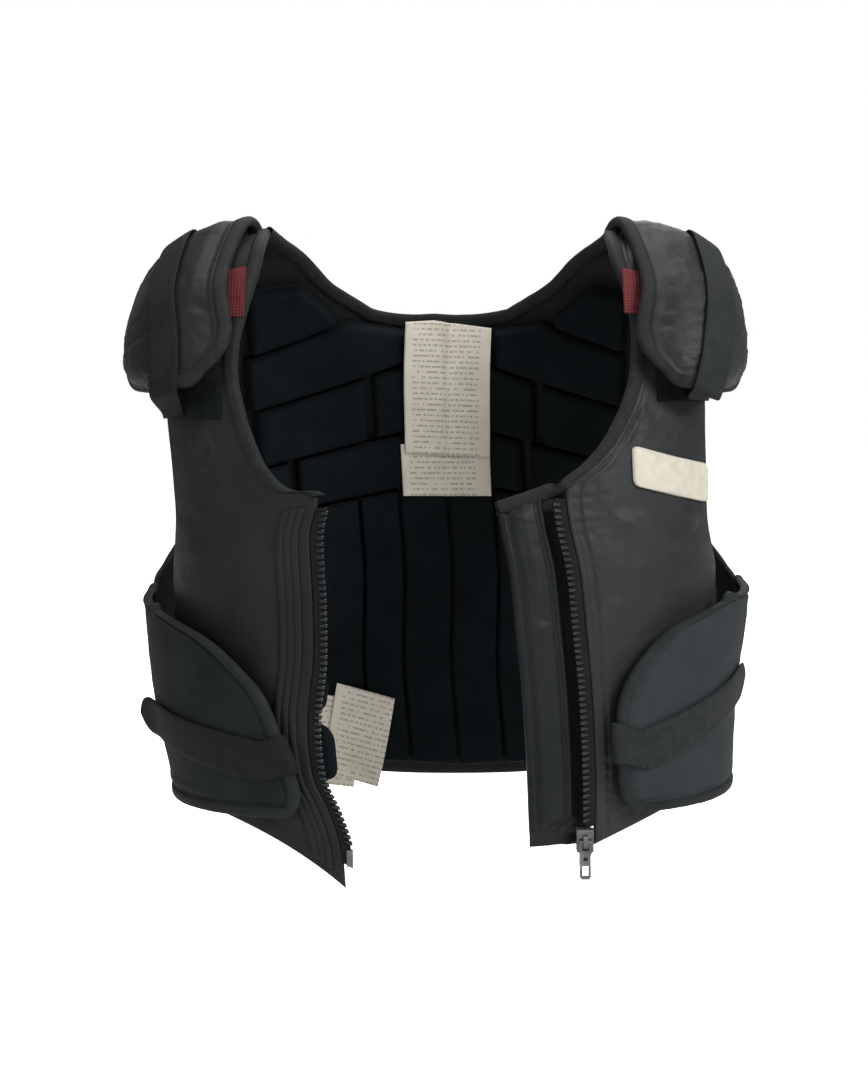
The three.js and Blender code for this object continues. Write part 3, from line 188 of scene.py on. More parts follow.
def lerp(a, b, t):
    return a + (b - a) * t


def smooth(t):
    t = np.clip(t, 0, 1)
    return t * t * (3 - 2 * t)


def stack(x, y, z):
    return np.stack(np.broadcast_arrays(x, y, z), -1).astype(float)


def unit(vectors):
    return vectors / np.maximum(np.linalg.norm(vectors, axis=-1, keepdims=True), 1e-9)


PANEL_COAT = ("panel", 0)
OUTER_COAT = ("wing", 10.8)


def on_body(coat, turn, drop):
    half_name, lift = coat
    angle = np.radians(turn)
    half = along(SECTIONS, "drop", half_name, drop) * HALF
    shift = along(SECTIONS, "drop", "shift", drop) * HALF
    cos = np.cos(angle)
    front = along(SECTIONS, "drop", "front", drop) * FRONT + lift
    back = along(SECTIONS, "drop", "back", drop) * BACK_DEPTH
    x = power(np.sin(angle), 2 / SQUARE) * half
    y = -power(cos, 2 / SQUARE) * np.where(cos > 0, front, back)
    fade = np.maximum(1 - drop / RIDGE_FADE, 0) ** 2
    beyond = np.abs(x) - NECK_HALF
    ridge = -(SHOULDER_SINK + SHOULDER_SLOPE * beyond + SHOULDER_DROOP * np.maximum(beyond, 0) ** 2) * fade
    return stack(x + shift, y, ridge - drop * HEIGHT)


def turn_at(coat, x, drop):
    half = along(SECTIONS, "drop", coat[0], drop) * HALF
    share = np.clip(np.abs(x) / half, 0, 1)
    return np.degrees(np.arcsin(share ** (SQUARE / 2))) * np.sign(x)


def table_face(rows, coat, side):
    def face(u, v):
        inner_drop = evenly(rows, "innerDrop", v)
        outer_drop = evenly(rows, "outerDrop", v)
        shift = along(SECTIONS, "drop", "shift", inner_drop) * HALF
        start = turn_at(coat, side * evenly(rows, "inner", v) * HALF - shift, inner_drop)
        end = side * evenly(rows, "turn", v)
        drop = outer_drop + (inner_drop - outer_drop) * np.maximum(1 - u, 0) ** evenly(rows, "fall", v)
        return on_body(coat, start + (end - start) * u, drop)
    return face


STRIP_SHARE = 0.3


def back_face(u, v):
    """The whole back: u from 0 at the left arm edge to 1 at the right."""
    u, v = np.broadcast_arrays(np.asarray(u, float), np.asarray(v, float))
    from_side = np.minimum(u, 1 - u)
    side = np.where(u > 0.5, 1.0, -1.0)
    inner_drop = evenly(BACK, "innerDrop", v)
    inner_turn = turn_at(OUTER_COAT, evenly(BACK, "inner", v) * HALF + side * NECK_ASIDE, inner_drop)
    in_strip = from_side <= STRIP_SHARE
    share = np.minimum(from_side / STRIP_SHARE, 1)
    middle = np.clip((from_side - STRIP_SHARE) / (0.5 - STRIP_SHARE), 0, 1)
    turn = np.where(in_strip, lerp(evenly(BACK, "turn", v), inner_turn, share), inner_turn * (1 - middle))
    drop = np.where(in_strip, lerp(evenly(BACK, "outerDrop", v), inner_drop, share),
                    lerp(inner_drop, evenly(BACK, "middleDrop", v), 1 - (1 - middle) ** 2))
    return on_body(OUTER_COAT, 180 - side * turn, drop)


# How far a cap slopes down before it bends, as a share of its height, and how square the bend is
CAP_BEND = {"left": (0.16, 2.5), "right": (0.14, 3.4)}


def cap_face(name):
    side = SIDES[name]["side"]
    fall, squareness = CAP_BEND[name]

    def face(u, v):
        neck = stack(side * evenly(CAP, "neckX", v) * HALF, evenly(CAP, "neckY", v) * FRONT,
                     evenly(CAP, "neckZ", v) * HEIGHT)
        arm = stack(side * evenly(CAP, "armX", v) * HALF, evenly(CAP, "armY", v) * FRONT,
                    evenly(CAP, "armZ", v) * HEIGHT)
        neck, arm = np.broadcast_arrays(neck, arm)
        bend = stack(arm[..., 0], neck[..., 1], lerp(neck[..., 2], arm[..., 2], fall))
        angle = np.asarray(u, float) * math.pi / 2
        sin = power(np.sin(angle), 2 / squareness)[..., None]
        cos = power(np.cos(angle), 2 / squareness)[..., None]
        return neck + arm - bend + (bend - neck) * sin + (bend - arm) * cos
    return face


def patch_face(coat, side, inner, outer, high, low, slant=0.0):
    def face(u, v):
        drop = lerp(low, high, v) + slant * u
        return on_body(coat, turn_at(coat, side * lerp(inner, outer, u) * HALF, drop), drop)
    return face


def back_patch(middle, top, width, height, deep, tilt=0.0):
    def face(u, v):
        x = middle + (u - 0.5) * width + tilt * (1 - v) * height
        drop = top + ((1 - v) * height - tilt * (u - 0.5) * width) / HEIGHT
        return on_body(OUTER_COAT, 180 - turn_at(OUTER_COAT, x - BACK_MIDDLE, drop), drop)
    return lifted(face, -deep, -1)


BACK_MIDDLE = 8
LINES = {"neck": (0.306, -0.94), "collar": (0.170, -0.20), "ridge": (0.072, 0), "loop": (0.169, 0),
         "first": (0.083, 0.31), "second": (0.184, 0.30), "third": (0.302, 0.25), "fourth": (0.406, 0.20),
         "hem": (0.925, -0.06)}
TOPS = {"upper": ("ridge", "neck"), "shoulder": ("first", "collar")}


def line_drop(line, x):
    lines = [LINES[name] for name in TOPS.get(line, (line,))]
    return np.max([drop + fall * np.abs(x - BACK_MIDDLE) / HEIGHT for drop, fall in lines], axis=0)


def block_face(top, foot, start, end):
    def face(u, v):
        x = lerp(start * HALF + BLOCK_SEAM / 2, end * HALF - BLOCK_SEAM / 2, u)
        drop = lerp(line_drop(foot, x) - BLOCK_SEAM / 2 / HEIGHT,
                    line_drop(top, x) + BLOCK_SEAM / 2 / HEIGHT, v)
        return on_body(OUTER_COAT, 180 - turn_at(OUTER_COAT, x, drop), drop)
    return face


STEP = 1e-3


def normal_at(face, u, v, turned):
    across = face(u + STEP, v) - face(u - STEP, v)
    up = face(u, v + STEP) - face(u, v - STEP)
    return unit(np.cross(across, up)) * turned


def lifted(face, height, turned):
    return lambda u, v: face(u, v) + normal_at(face, u, v, turned) * height


# Meshes: a grid with a wall, and a loft through loops


def build(name, points, quads, uv=None, tris=()):
    mesh = bpy.data.meshes.new(name)
    mesh.from_pydata((points / 1000).tolist(), [], [list(q) for q in quads] + [list(t) for t in tris])
    mesh.validate()
    if uv is not None:
        layer = mesh.uv_layers.new(name="cloth")
        index = np.empty(len(mesh.loops), int)
        mesh.loops.foreach_get("vertex_index", index)
        layer.data.foreach_set("uv", (uv[index] / 1000).astype(np.float32).ravel())
    mesh.polygons.foreach_set("use_smooth", [True] * len(mesh.polygons))
    obj = bpy.data.objects.new(name, mesh)
    bpy.context.collection.objects.link(obj)
    return obj


class Grid:
    """A face's grid of points with its normals, and each point's distance from the four edges in mm."""

    def __init__(self, face, us, vs, turned):
        self.u, self.v = np.meshgrid(us, vs)
        self.p = face(self.u, self.v)
        self.n = unit(np.cross(np.gradient(self.p, axis=1), np.gradient(self.p, axis=0))) * turned
        across = np.linalg.norm(np.diff(self.p, axis=1), axis=-1)
        up = np.linalg.norm(np.diff(self.p, axis=0), axis=-1)
        self.left = np.concatenate([np.zeros((len(vs), 1)), np.cumsum(across, 1)], 1)
        self.right = self.left[:, -1:] - self.left
        self.low = np.concatenate([np.zeros((1, len(us))), np.cumsum(up, 0)], 0)
        self.high = self.low[-1:] - self.low
        self.edge = np.minimum(np.minimum(self.left, self.right), np.minimum(self.low, self.high))
        self.x, self.y, self.z = self.p[..., 0], self.p[..., 1], self.p[..., 2]


def shell(name, grid, outer, inner, kept=None, uv=None):
    """A closed cloth shell: outer and inner are heights of its two faces over the grid, in mm."""
    rows, columns = grid.u.shape
    count = rows * columns
    top = (grid.p + grid.n * outer[..., None]).reshape(-1, 3)
    base = (grid.p + grid.n * inner[..., None]).reshape(-1, 3)
    index = np.arange(count).reshape(rows, columns)
    cells = np.stack([index[:-1, :-1], index[:-1, 1:], index[1:, 1:], index[1:, :-1]], -1)
    cells = cells[kept] if kept is not None else cells.reshape(-1, 4)
    turned = np.einsum("ijk,ijk->ij", np.cross(np.gradient(grid.p, axis=1), np.gradient(grid.p, axis=0)),
                       grid.n).mean()
    if turned < 0:
        cells = cells[:, ::-1]
    pairs = np.concatenate([cells[:, [0, 1]], cells[:, [1, 2]], cells[:, [2, 3]], cells[:, [3, 0]]])
    known = set(map(tuple, pairs.tolist()))
    rim = np.array([(b, a, a + count, b + count) for a, b in known if (b, a) not in known])
    quads = np.concatenate([cells, cells[:, ::-1] + count, rim])
    used = np.unique(quads)
    place = np.full(2 * count, -1)
    place[used] = np.arange(len(used))
    flat = uv if uv is not None else np.stack([grid.left, grid.low], -1)
    flat = np.concatenate([flat.reshape(-1, 2)] * 2)
    return build(name, np.concatenate([top, base])[used], place[quads].tolist(), flat[used])


def loft(name, loops, ring=False):
    """A tube through loops, an array of (stations, corners, 3)."""
    n, k = loops.shape[:2]
    uv = np.stack(np.meshgrid(lengths(loops.mean(1)), lengths(loops[0]), indexing="ij"), -1).reshape(-1, 2)
    a, i = np.meshgrid(np.arange(n if ring else n - 1), np.arange(k), indexing="ij")
    b, j = (a + 1) % n, (i + 1) % k
    quads = np.stack([a * k + i, a * k + j, b * k + j, b * k + i], -1).reshape(-1, 4)
    points = loops.reshape(-1, 3)
    p, q, r, s = np.moveaxis(points[quads] - points[0], 1, 0)
    volume = np.sum(p * (np.cross(q, r) + np.cross(r, s)))
    ends = [] if ring else [list(range(k))[::-1], list(range((n - 1) * k, n * k))]
    faces = quads.tolist() + ends
    if volume < 0:
        faces = [f[::-1] for f in faces]
    return build(name, points, faces, uv)


class Stations:
    """Places along an edge: the point, the way out of the cloth and the way its face looks."""

    def __init__(self, point, out, normal):
        self.point, self.out, self.normal = point, unit(out), unit(normal)

    def off(self, out, deep):
        out, deep = np.broadcast_arrays(np.asarray(out, float), np.asarray(deep, float))
        return self.point + self.out * out[..., None] - self.normal * deep[..., None]


def beside(face, u, v, out_u, out_v, turned):
    u, v = np.broadcast_arrays(u, v)
    point = face(u, v)
    return Stations(point, point - face(u - out_u * STEP, v - out_v * STEP), normal_at(face, u, v, turned))


def join(*parts):
    return Stations(*[np.concatenate([getattr(s, key) for s in parts]) for key in ("point", "out", "normal")])


def lengths(line):
    """How far along its line each point is."""
    return np.concatenate([[0], np.cumsum(np.linalg.norm(np.diff(line, axis=0), axis=-1))])


def spread_along(length, at, *data):
    return [np.stack([np.interp(at, length, d[:, c]) for c in range(3)], -1) for d in data]


def evened(stations, step, ring=False):
    """The same places, evenly spaced along their line."""
    data = [stations.point, stations.out, stations.normal]
    if ring:
        data = [np.concatenate([d, d[:1]]) for d in data]
    length = lengths(data[0])
    at = np.linspace(0, length[-1], max(int(round(length[-1] / step)), 2) + 1)
    return Stations(*spread_along(length, at[:-1] if ring else at, *data))


def softened(values, times, ring=False):
    for _ in range(times):
        if ring:
            values = (np.roll(values, 1, 0) + 2 * values + np.roll(values, -1, 0)) / 4
        else:
            inner = (values[:-2] + 2 * values[1:-1] + values[2:]) / 4
            values = np.concatenate([values[:1], inner, values[-1:]])
    return values


# Relief helpers: all heights and distances in mm


def lattice(x, y, seed):
    grid = np.random.default_rng(seed).uniform(-1, 1, (64, 64))
    xi, yi = np.floor(x).astype(int), np.floor(y).astype(int)
    fx, fy = smooth(x - xi), smooth(y - yi)

    def row(b):
        return lerp(grid[xi % 64, b % 64], grid[(xi + 1) % 64, b % 64], fx)

    return lerp(row(yi), row(yi + 1), fy)


def waves(x, y, size, seed, octaves=3):
    total = np.zeros(np.broadcast(x, y).shape)
    for k in range(octaves):
        total = total + lattice(x / size * 2 ** k + 7.3 * k, y / size * 2 ** k + 3.1 * k, seed + k) / 2 ** k
    return total


def line_at(distance, at, width):
    return np.exp(-((distance - at) / width) ** 2)


def folds(grid, rows):
    """Soft ridges from one point to another: x, z, x, z, half width and height, all in mm."""
    total = np.zeros(grid.u.shape)
    for x0, z0, x1, z1, width, height in rows:
        length = math.hypot(x1 - x0, z1 - z0)
        ax, az = (x1 - x0) / length, (z1 - z0) / length
        ahead = (grid.x - x0) * ax + (grid.z - z0) * az
        aside = -(grid.x - x0) * az + (grid.z - z0) * ax
        window = smooth((ahead / length + 0.25) / 0.45) * smooth((1.25 - ahead / length) / 0.45)
        total += height * np.exp(-(aside / width) ** 2) * window
    return total


def away_from(grid, x, z, half_width, half_height, soft=10):
    """0 under a patch that is centred at x, z, rising to 1 around it."""
    dx = np.maximum(np.abs(grid.x - x) - half_width, 0)
    dz = np.maximum(np.abs(grid.z - z) - half_height, 0)
    return smooth(np.hypot(dx, dz) / soft)


def swell(grid, full, edge, rim_u, rim_v):
    rise = smooth(np.minimum(grid.u, 1 - grid.u) / rim_u) * smooth(np.minimum(grid.v, 1 - grid.v) / rim_v)
    return edge + (full - edge) * rise


def rounding(grid, radius):
    near = np.clip(1 - grid.edge / radius, 0, 1)
    return radius * (1 - np.sqrt(np.maximum(1 - near ** 2, 0)))

# Materials: colours are linear, sizes in metres


class Nodes:
    """A material's node tree, with short ways to add the nodes used here."""

    def __init__(self, name, base, rough, **sockets):
        self.material = bpy.data.materials.new(name)
        self.material.use_nodes = True
        self.tree = self.material.node_tree
        self.shader = self.tree.nodes["Principled BSDF"]
        self.shader.inputs["Base Color"].default_value = (*base, 1)
        self.shader.inputs["Roughness"].default_value = rough
        for key, value in sockets.items():
            self.shader.inputs[key.replace("_", " ")].default_value = value
        self.bump = None

    def add(self, kind, inputs=(), **settings):
        node = self.tree.nodes.new(kind)
        for key, value in settings.items():
            setattr(node, key, value)
        for key, value in dict(inputs).items():
            if isinstance(value, bpy.types.NodeSocket):
                self.tree.links.new(value, node.inputs[key])
            else:
                node.inputs[key].default_value = value
        return node

    def place(self):
        return self.add("ShaderNodeTexCoord").outputs["Object"]

    def cloth(self):
        return self.add("ShaderNodeUVMap", uv_map="cloth").outputs["UV"]

    def noise(self, size, detail=3, stretch=None, where=None):
        where = where or self.place()
        if stretch:
            where = self.add("ShaderNodeMapping", {"Vector": where, "Scale": stretch}).outputs["Vector"]
        return self.add("ShaderNodeTexNoise", {"Vector": where, "Scale": 1 / size, "Detail": detail,
                                               "Roughness": 0.55}).outputs["Fac"]

    def math(self, operation, a, b=0.0, clamp=False):
        return self.add("ShaderNodeMath", {0: a, 1: b}, operation=operation, use_clamp=clamp).outputs[0]

    def stripes(self, axis, period):
        """A wave from 0 to 1 along one axis of the cloth's own coordinates."""
        part = self.add("ShaderNodeSeparateXYZ", {0: self.cloth()}).outputs[axis]
        wave = self.math("SINE", self.math("MULTIPLY", part, 2 * math.pi / period))
        return self.math("ADD", self.math("MULTIPLY", wave, 0.5), 0.5)

    def mix(self, share, first, second):
        node = self.add("ShaderNodeMix", {"Factor": share}, data_type="RGBA")
        for slot, value in ((6, first), (7, second)):
            if isinstance(value, bpy.types.NodeSocket):
                self.tree.links.new(value, node.inputs[slot])
            else:
                node.inputs[slot].default_value = (*value, 1)
        return node.outputs[2]

    def spread(self, value, low, high, to_low=0.0, to_high=1.0):
        return self.add("ShaderNodeMapRange", {"Value": value, "From Min": low, "From Max": high,
                                               "To Min": to_low, "To Max": to_high}).outputs[0]

    def colour(self, socket):
        self.tree.links.new(socket, self.shader.inputs["Base Color"])

    def roughness(self, socket):
        self.tree.links.new(socket, self.shader.inputs["Roughness"])

    def raise_by(self, height, distance, strength=1.0):
        inputs = {"Height": height, "Distance": distance, "Strength": strength}
        if self.bump:
            inputs["Normal"] = self.bump
        self.bump = self.add("ShaderNodeBump", inputs).outputs["Normal"]
        self.tree.links.new(self.bump, self.shader.inputs["Normal"])


def nylon(name, dark, light, rough, crinkle, weave=0.0006):
    """Thin woven cloth with a soft sheen: mottled colour, small crinkles and a fine plain weave."""
    m = Nodes(name, dark, rough, Specular_IOR_Level=0.16, Sheen_Weight=0.02, Sheen_Roughness=0.4)
    cloud = m.noise(0.05, 3)
    m.colour(m.mix(m.spread(cloud, 0.3, 0.7), dark, light))
    m.roughness(m.spread(m.noise(0.02, 2), 0.3, 0.7, rough - 0.04, rough + 0.05))
    m.raise_by(m.noise(0.03, 2, (1, 1, 1.8)), 0.0016 * crinkle)
    m.raise_by(m.noise(0.009, 2), 0.00022 * crinkle)
    threads = m.math("MULTIPLY", m.stripes(0, weave), m.stripes(1, weave))
    m.raise_by(threads, 0.00003)
    return m.material


def ribbed(name, dark, light, rough, axis, rib, cross):
    """Woven tape: ribs along one axis, fine threads along the other, with a painted highlight on the rib
    crowns.
    """
    m = Nodes(name, dark, rough, Specular_IOR_Level=0.12, Sheen_Weight=0.02, Sheen_Roughness=0.5)
    ribs = m.stripes(axis, rib)
    threads = m.stripes(1 - axis, cross)
    highlight_patches = m.spread(m.noise(0.008, 4), 0.35, 0.7)
    # Painted highlight: the colour turns light on the rib crowns, its strength broken up by noise
    m.colour(m.mix(m.math("MULTIPLY", ribs, m.math("ADD", m.math("MULTIPLY", highlight_patches, 0.7), 0.3)), dark, light))
    m.raise_by(ribs, 0.00022)
    m.raise_by(threads, 0.00008)
    return m.material


def plush(name, dark, light, rough, grain):
    """Matt knitted or brushed cloth: grain, soft mottling and a dull sheen."""
    m = Nodes(name, dark, rough, Specular_IOR_Level=0.06, Sheen_Weight=0.01, Sheen_Roughness=0.6)
    m.colour(m.mix(m.spread(m.noise(0.03, 4), 0.3, 0.7), dark, light))
    m.raise_by(m.noise(grain, 2), 0.00018)
    knit = m.math("MULTIPLY", m.stripes(0, 0.0012), m.stripes(1, 0.0009))
    m.raise_by(knit, 0.00008)
    m.raise_by(m.noise(0.02, 3), 0.0008)
    return m.material


def mesh_cloth(name, dark, light):
    """Open mesh: small round holes in rows."""
    m = Nodes(name, light, 0.75, Specular_IOR_Level=0.25)
    holes = m.math("MULTIPLY", m.stripes(0, 0.0022), m.stripes(1, 0.0022))
    m.colour(m.mix(m.spread(holes, 0.45, 0.8), light, dark))
    m.raise_by(holes, 0.0004)
    m.raise_by(m.noise(0.01, 3), 0.001)
    return m.material


def satin_label(name, light, shade, line, rows_pitch):
    """Cream label tape: faint weave, soft stains and rows of short plain dashes."""
    m = Nodes(name, light, 0.55, Specular_IOR_Level=0.35, Sheen_Weight=0.1)
    cloth = m.mix(m.spread(m.noise(0.02, 4), 0.35, 0.75), light, shade)
    rows = m.math("GREATER_THAN", m.stripes(1, rows_pitch), 0.72)
    row = m.add("ShaderNodeSeparateXYZ", {0: m.cloth()})
    line_number = m.math("FLOOR", m.math("MULTIPLY", row.outputs[1], 1 / rows_pitch))
    cells = m.add("ShaderNodeCombineXYZ", {0: m.math("MULTIPLY", row.outputs[0], 210.0), 1: line_number})
    noise = m.add("ShaderNodeTexNoise", {"Vector": cells.outputs[0], "Scale": 2.7, "Detail": 1.0})
    breaks = noise.outputs["Fac"]
    inside = m.math("LESS_THAN", m.math("ABSOLUTE", m.math("SUBTRACT", row.outputs[0], 0.031)), 0.025)
    dash = m.math("MULTIPLY", m.math("MULTIPLY", rows, inside), m.math("GREATER_THAN", breaks, 0.47))
    m.colour(m.mix(m.math("MULTIPLY", dash, 0.55), cloth, line))
    m.raise_by(m.math("MULTIPLY", m.stripes(0, 0.0006), m.stripes(1, 0.0006)), 0.00004)
    m.raise_by(m.noise(0.012, 3), 0.0006)
    return m.material


def moulded(name, base, rough, grain=0.0012, depth=0.00005, metal=0.0, worn=None):
    m = Nodes(name, base, rough, Metallic=metal, Specular_IOR_Level=0.5)
    cloud = m.spread(m.noise(0.006, 4), 0.35, 0.75)
    m.colour(m.mix(cloud, base, worn or tuple(1.35 * c for c in base)))
    m.roughness(m.spread(m.noise(0.003, 3), 0.3, 0.7, rough - 0.06, rough + 0.1))
    m.raise_by(m.noise(grain, 3), depth)
    return m.material


COVER = nylon("cover_nylon", (0.0105, 0.0115, 0.0120), (0.0165, 0.0170, 0.0175), 0.50, 0.5)
# The guard is the cover nylon with its colour painted darker, as painted shade in the recess behind the zip
GUARD_PAINTED_SHADE = nylon("guard_nylon", (0.0080, 0.0100, 0.0110), (0.0130, 0.0150, 0.0160), 0.44, 1.2)
SHEEN = nylon("panel_nylon", (0.0200, 0.0220, 0.0240), (0.0290, 0.0310, 0.0330), 0.44, 0.8)
# The two caps are one cover nylon: the left copy's colour is painted darker as painted shade, the right
# copy's lighter as painted light
CAP_LEFT_PAINTED_SHADE = nylon("cap_nylon_left", (0.0110, 0.0110, 0.0110), (0.0180, 0.0175, 0.0175), 0.48, 1.0)
CAP_RIGHT_PAINTED_LIGHT = nylon("cap_nylon_right", (0.0170, 0.0190, 0.0200), (0.0290, 0.0305, 0.0320), 0.46, 1.3)
# The two wings are one wing cloth: the left copy's colour is painted darker as painted shade, the right
# copy's lighter as painted light; the left flap takes the darker copy
WING_LEFT_CLOTH_PAINTED_SHADE = plush("wing_cloth_left", (0.0110, 0.0135, 0.0145), (0.0180, 0.0210, 0.0220), 0.66, 0.0011)
WING_RIGHT_CLOTH_PAINTED_LIGHT = plush("wing_cloth_right", (0.0250, 0.0300, 0.0320), (0.0340, 0.0390, 0.0410), 0.66, 0.0011)
BLOCK = plush("block_cloth", (0.0032, 0.0052, 0.0066), (0.0058, 0.0085, 0.0102), 0.72, 0.0009)
# The inside of the back is the cover nylon with its colour painted darker, as painted shade inside the vest
COVER_INSIDE_PAINTED_SHADE = nylon("back_lining", (0.0060, 0.0068, 0.0075), (0.0100, 0.0108, 0.0115), 0.52, 0.6)
BIND = ribbed("binding_tape", (0.0120, 0.0135, 0.0135), (0.0330, 0.0340, 0.0335), 0.62, 0, 0.0011, 0.0016)
WING_BIND = plush("wing_edge", (0.0160, 0.0185, 0.0195), (0.0250, 0.0280, 0.0290), 0.62, 0.0010)
# The straps are one webbing: the left copy's colour is painted darker as painted shade, the right copy's
# lighter as painted light
STRAP_LEFT_PAINTED_SHADE = ribbed("strap_webbing_left", (0.0065, 0.0080, 0.0085), (0.0190, 0.0210, 0.0220), 0.70, 0,
                    0.0016, 0.0012)
STRAP_RIGHT_PAINTED_LIGHT = ribbed("strap_webbing_right", (0.0140, 0.0165, 0.0175), (0.0340, 0.0370, 0.0390), 0.70, 0,
                     0.0016, 0.0012)
LOOP_CLOTH = plush("loop_patch", (0.0045, 0.0060, 0.0062), (0.0100, 0.0125, 0.0128), 0.85, 0.0006)
TAPE = ribbed("zip_tape", (0.0070, 0.0080, 0.0085), (0.0180, 0.0190, 0.0200), 0.72, 0, 0.0009, 0.0009)
RED = mesh_cloth("red_mesh", (0.030, 0.006, 0.007), (0.130, 0.018, 0.022))
LABEL = satin_label("label_tape", (0.78, 0.73, 0.61), (0.66, 0.61, 0.49), (0.20, 0.18, 0.15), 0.0042)
BADGE = moulded("badge_rubber", (0.60, 0.57, 0.48), 0.5, 0.0008, 0.00006, worn=(0.50, 0.47, 0.38))
TEETH = moulded("zip_teeth", (0.006, 0.006, 0.007), 0.34, worn=(0.014, 0.014, 0.015))
METAL = moulded("zip_metal", (0.10, 0.10, 0.104), 0.34, metal=0.8, worn=(0.24, 0.24, 0.25))


def dressed(obj, material, slot, stands_for=None):
    """The piece stands for the node that its name gives before the last word, unless told otherwise."""
    obj.data.materials.append(material)
    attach(obj, "vest")
    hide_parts(*(stands_for or [obj.name.rsplit("_", 1)[0]]))


def spaced(count, ends=0.0):
    """Shares from 0 to 1, closer together near both ends."""
    t = np.linspace(0, 1, count + 1)
    return lerp(t, smooth(t), ends)


# Front panels


FOLDS_LEFT = [
    (-166, -168, -150, -122, 5.0, 1.5), (-151, -158, -136, -134, 4.0, 1.1),
    (-146, -118, -126, -158, 4.5, 1.2),
    (-138, -176, -150, -140, 7.0, 0.9), (-118, -268, -100, -274, 4.0, 0.8), (-126, -212, -112, -300, 16, 1.4),
    (-100, -345, -84, -392, 5.0, 1.3), (-96, -384, -70, -396, 3.0, 0.9), (-70, -410, -62, -424, 3.5, 1.0),
    (-164, -200, -158, -260, 8.0, 0.9),
]
FOLDS_RIGHT = [
    (122, -190, 168, -208, 7.0, 1.9), (108, -214, 160, -232, 12, 1.6), (106, -252, 150, -236, 9.0, 1.3),
    (168, -180, 176, -196, 4.0, 1.3), (134, -112, 142, -134, 4.0, 1.0), (150, -120, 168, -126, 6.0, 0.9),
    (112, -300, 124, -380, 8.0, 1.1), (128, -168, 118, -196, 9.0, 1.0), (172, -140, 166, -176, 6.0, 0.8),
]
# Each side takes its own cap, wing and strap copies: the left copies' colours are painted darker as painted
# shade, the right copies' lighter as painted light
SIDES = {
    "left": dict(side=-1, front=FRONT_LEFT, wing=WING_LEFT, folds=FOLDS_LEFT, cloth=COVER, slot="cover_nylon",
                 cap=CAP_LEFT_PAINTED_SHADE, wing_cloth=WING_LEFT_CLOTH_PAINTED_SHADE, strap=STRAP_LEFT_PAINTED_SHADE),
    "right": dict(side=1, front=FRONT_RIGHT, wing=WING_RIGHT, folds=FOLDS_RIGHT, cloth=SHEEN,
                  slot="panel_sheen", cap=CAP_RIGHT_PAINTED_LIGHT, wing_cloth=WING_RIGHT_CLOTH_PAINTED_LIGHT, strap=STRAP_RIGHT_PAINTED_LIGHT),
}
CORNER = 8


def front_relief(g, name):
    rows = len(SIDES[name]["front"]["inner"]) - 1
    corner = CORNER / rows
    relief = folds(g, SIDES[name]["folds"])
    relief += 0.7 * waves(g.x, g.z, 34, 5 if name == "left" else 9)
    relief += 0.25 * waves(g.x + g.z, g.z - g.x, 9, 15)
    neck = smooth((g.v - corner + 0.02) / 0.03)
    relief -= 0.9 * line_at(g.left, 7.5, 1.3) * neck
    relief += 0.5 * line_at(g.left, 11, 2.2) * neck
    if name == "right":
        zip_side = 1 - neck
        pucker = np.sin(2 * math.pi * (g.z / 8.2 + 0.35 * waves(g.z, g.x, 30, 40)))
        relief += 0.85 * pucker * zip_side * line_at(g.left, 7, 8) * smooth((g.z + 396) / 40)
        relief -= 1.3 * line_at(g.left, 9, 1.1) * zip_side
        relief -= 1.0 * line_at(g.left, 3.6, 0.9) * zip_side
        relief *= away_from(g, 152, -163, 30, 18, 8)
    relief -= 0.7 * line_at(g.low, 13, 1.2)
    velcro = (-162, -112) if name == "left" else (164, -101)
    relief *= away_from(g, *velcro, 22, 13, 9) * away_from(g, 135 * SIDES[name]["side"], -42, 12, 18, 8)
    near_zip = 1 if name == "right" else smooth((g.left - 22) / 6)
    fade = smooth(g.edge / 9)
    under_wing = 1 - 0.6 * smooth((-255 - g.z) / 30) * smooth((np.abs(g.x) - 110) / 20)
    return relief * fade * near_zip * under_wing


for name, s in SIDES.items():
    g = Grid(table_face(s["front"], PANEL_COAT, s["side"]), spaced(120, 0.3), spaced(184, 0.2), s["side"])
    wall = swell(g, PANEL_WALL, PANEL_EDGE, 0.12, 0.06)
    fall = rounding(g, 2.2)
    panel = shell(f"front_panel_{name}_cloth", g, front_relief(g, name) - fall, fall - wall)
    dressed(panel, s["cloth"], s["slot"])

# Bindings: a folded tape round the edge of a sheet

EDGE_STEP = 1.6
GUARD_SLANT, GUARD_FOOT_SLANT = 0.43, 0.36


def tape_section(edge, reach=3.4, lip=0.75, wall=0.8, nose=5.6):
    """Corners of the folded tape: how far out of the cloth and how deep below its face."""
    deep = edge / 2
    half = deep + 1.25
    bend = np.radians(np.linspace(90, -90, 13))
    start = nose - half
    outer = [(-reach, -lip), (start * 0.5 - reach * 0.5, -half + deep)]
    outer += [(start + half * c, deep - half * s) for c, s in zip(np.cos(bend), np.sin(bend))]
    outer += [(start * 0.5 - reach * 0.5, deep + half), (-reach, edge + lip)]
    thin = half - wall
    inner = [(-reach, edge + 0.05), (start * 0.5 - reach * 0.5, deep + thin)]
    inner += [(start + thin * c, deep + thin * s) for c, s in zip(np.cos(bend), np.sin(bend))]
    inner += [(start * 0.5 - reach * 0.5, deep - thin), (-reach, -0.05)]
    return outer, inner


def binding(name, stations, edge, material=BIND, ring=False, **section):
    st = evened(stations, EDGE_STEP, ring)
    st = Stations(softened(st.point, 2, ring), softened(st.out, 6, ring), softened(st.normal, 3, ring))
    outer, inner = tape_section(edge, **section)
    rng = np.random.default_rng(len(name))
    ripple = softened(rng.normal(0, 1, len(st.point)), 3, ring) * 0.12
    loops = np.stack([st.off(out + (ripple if out > 0 else 0), deep) for out, deep in outer + inner], 1)
    dressed(loft(name, loops, ring), material, "binding_tape")


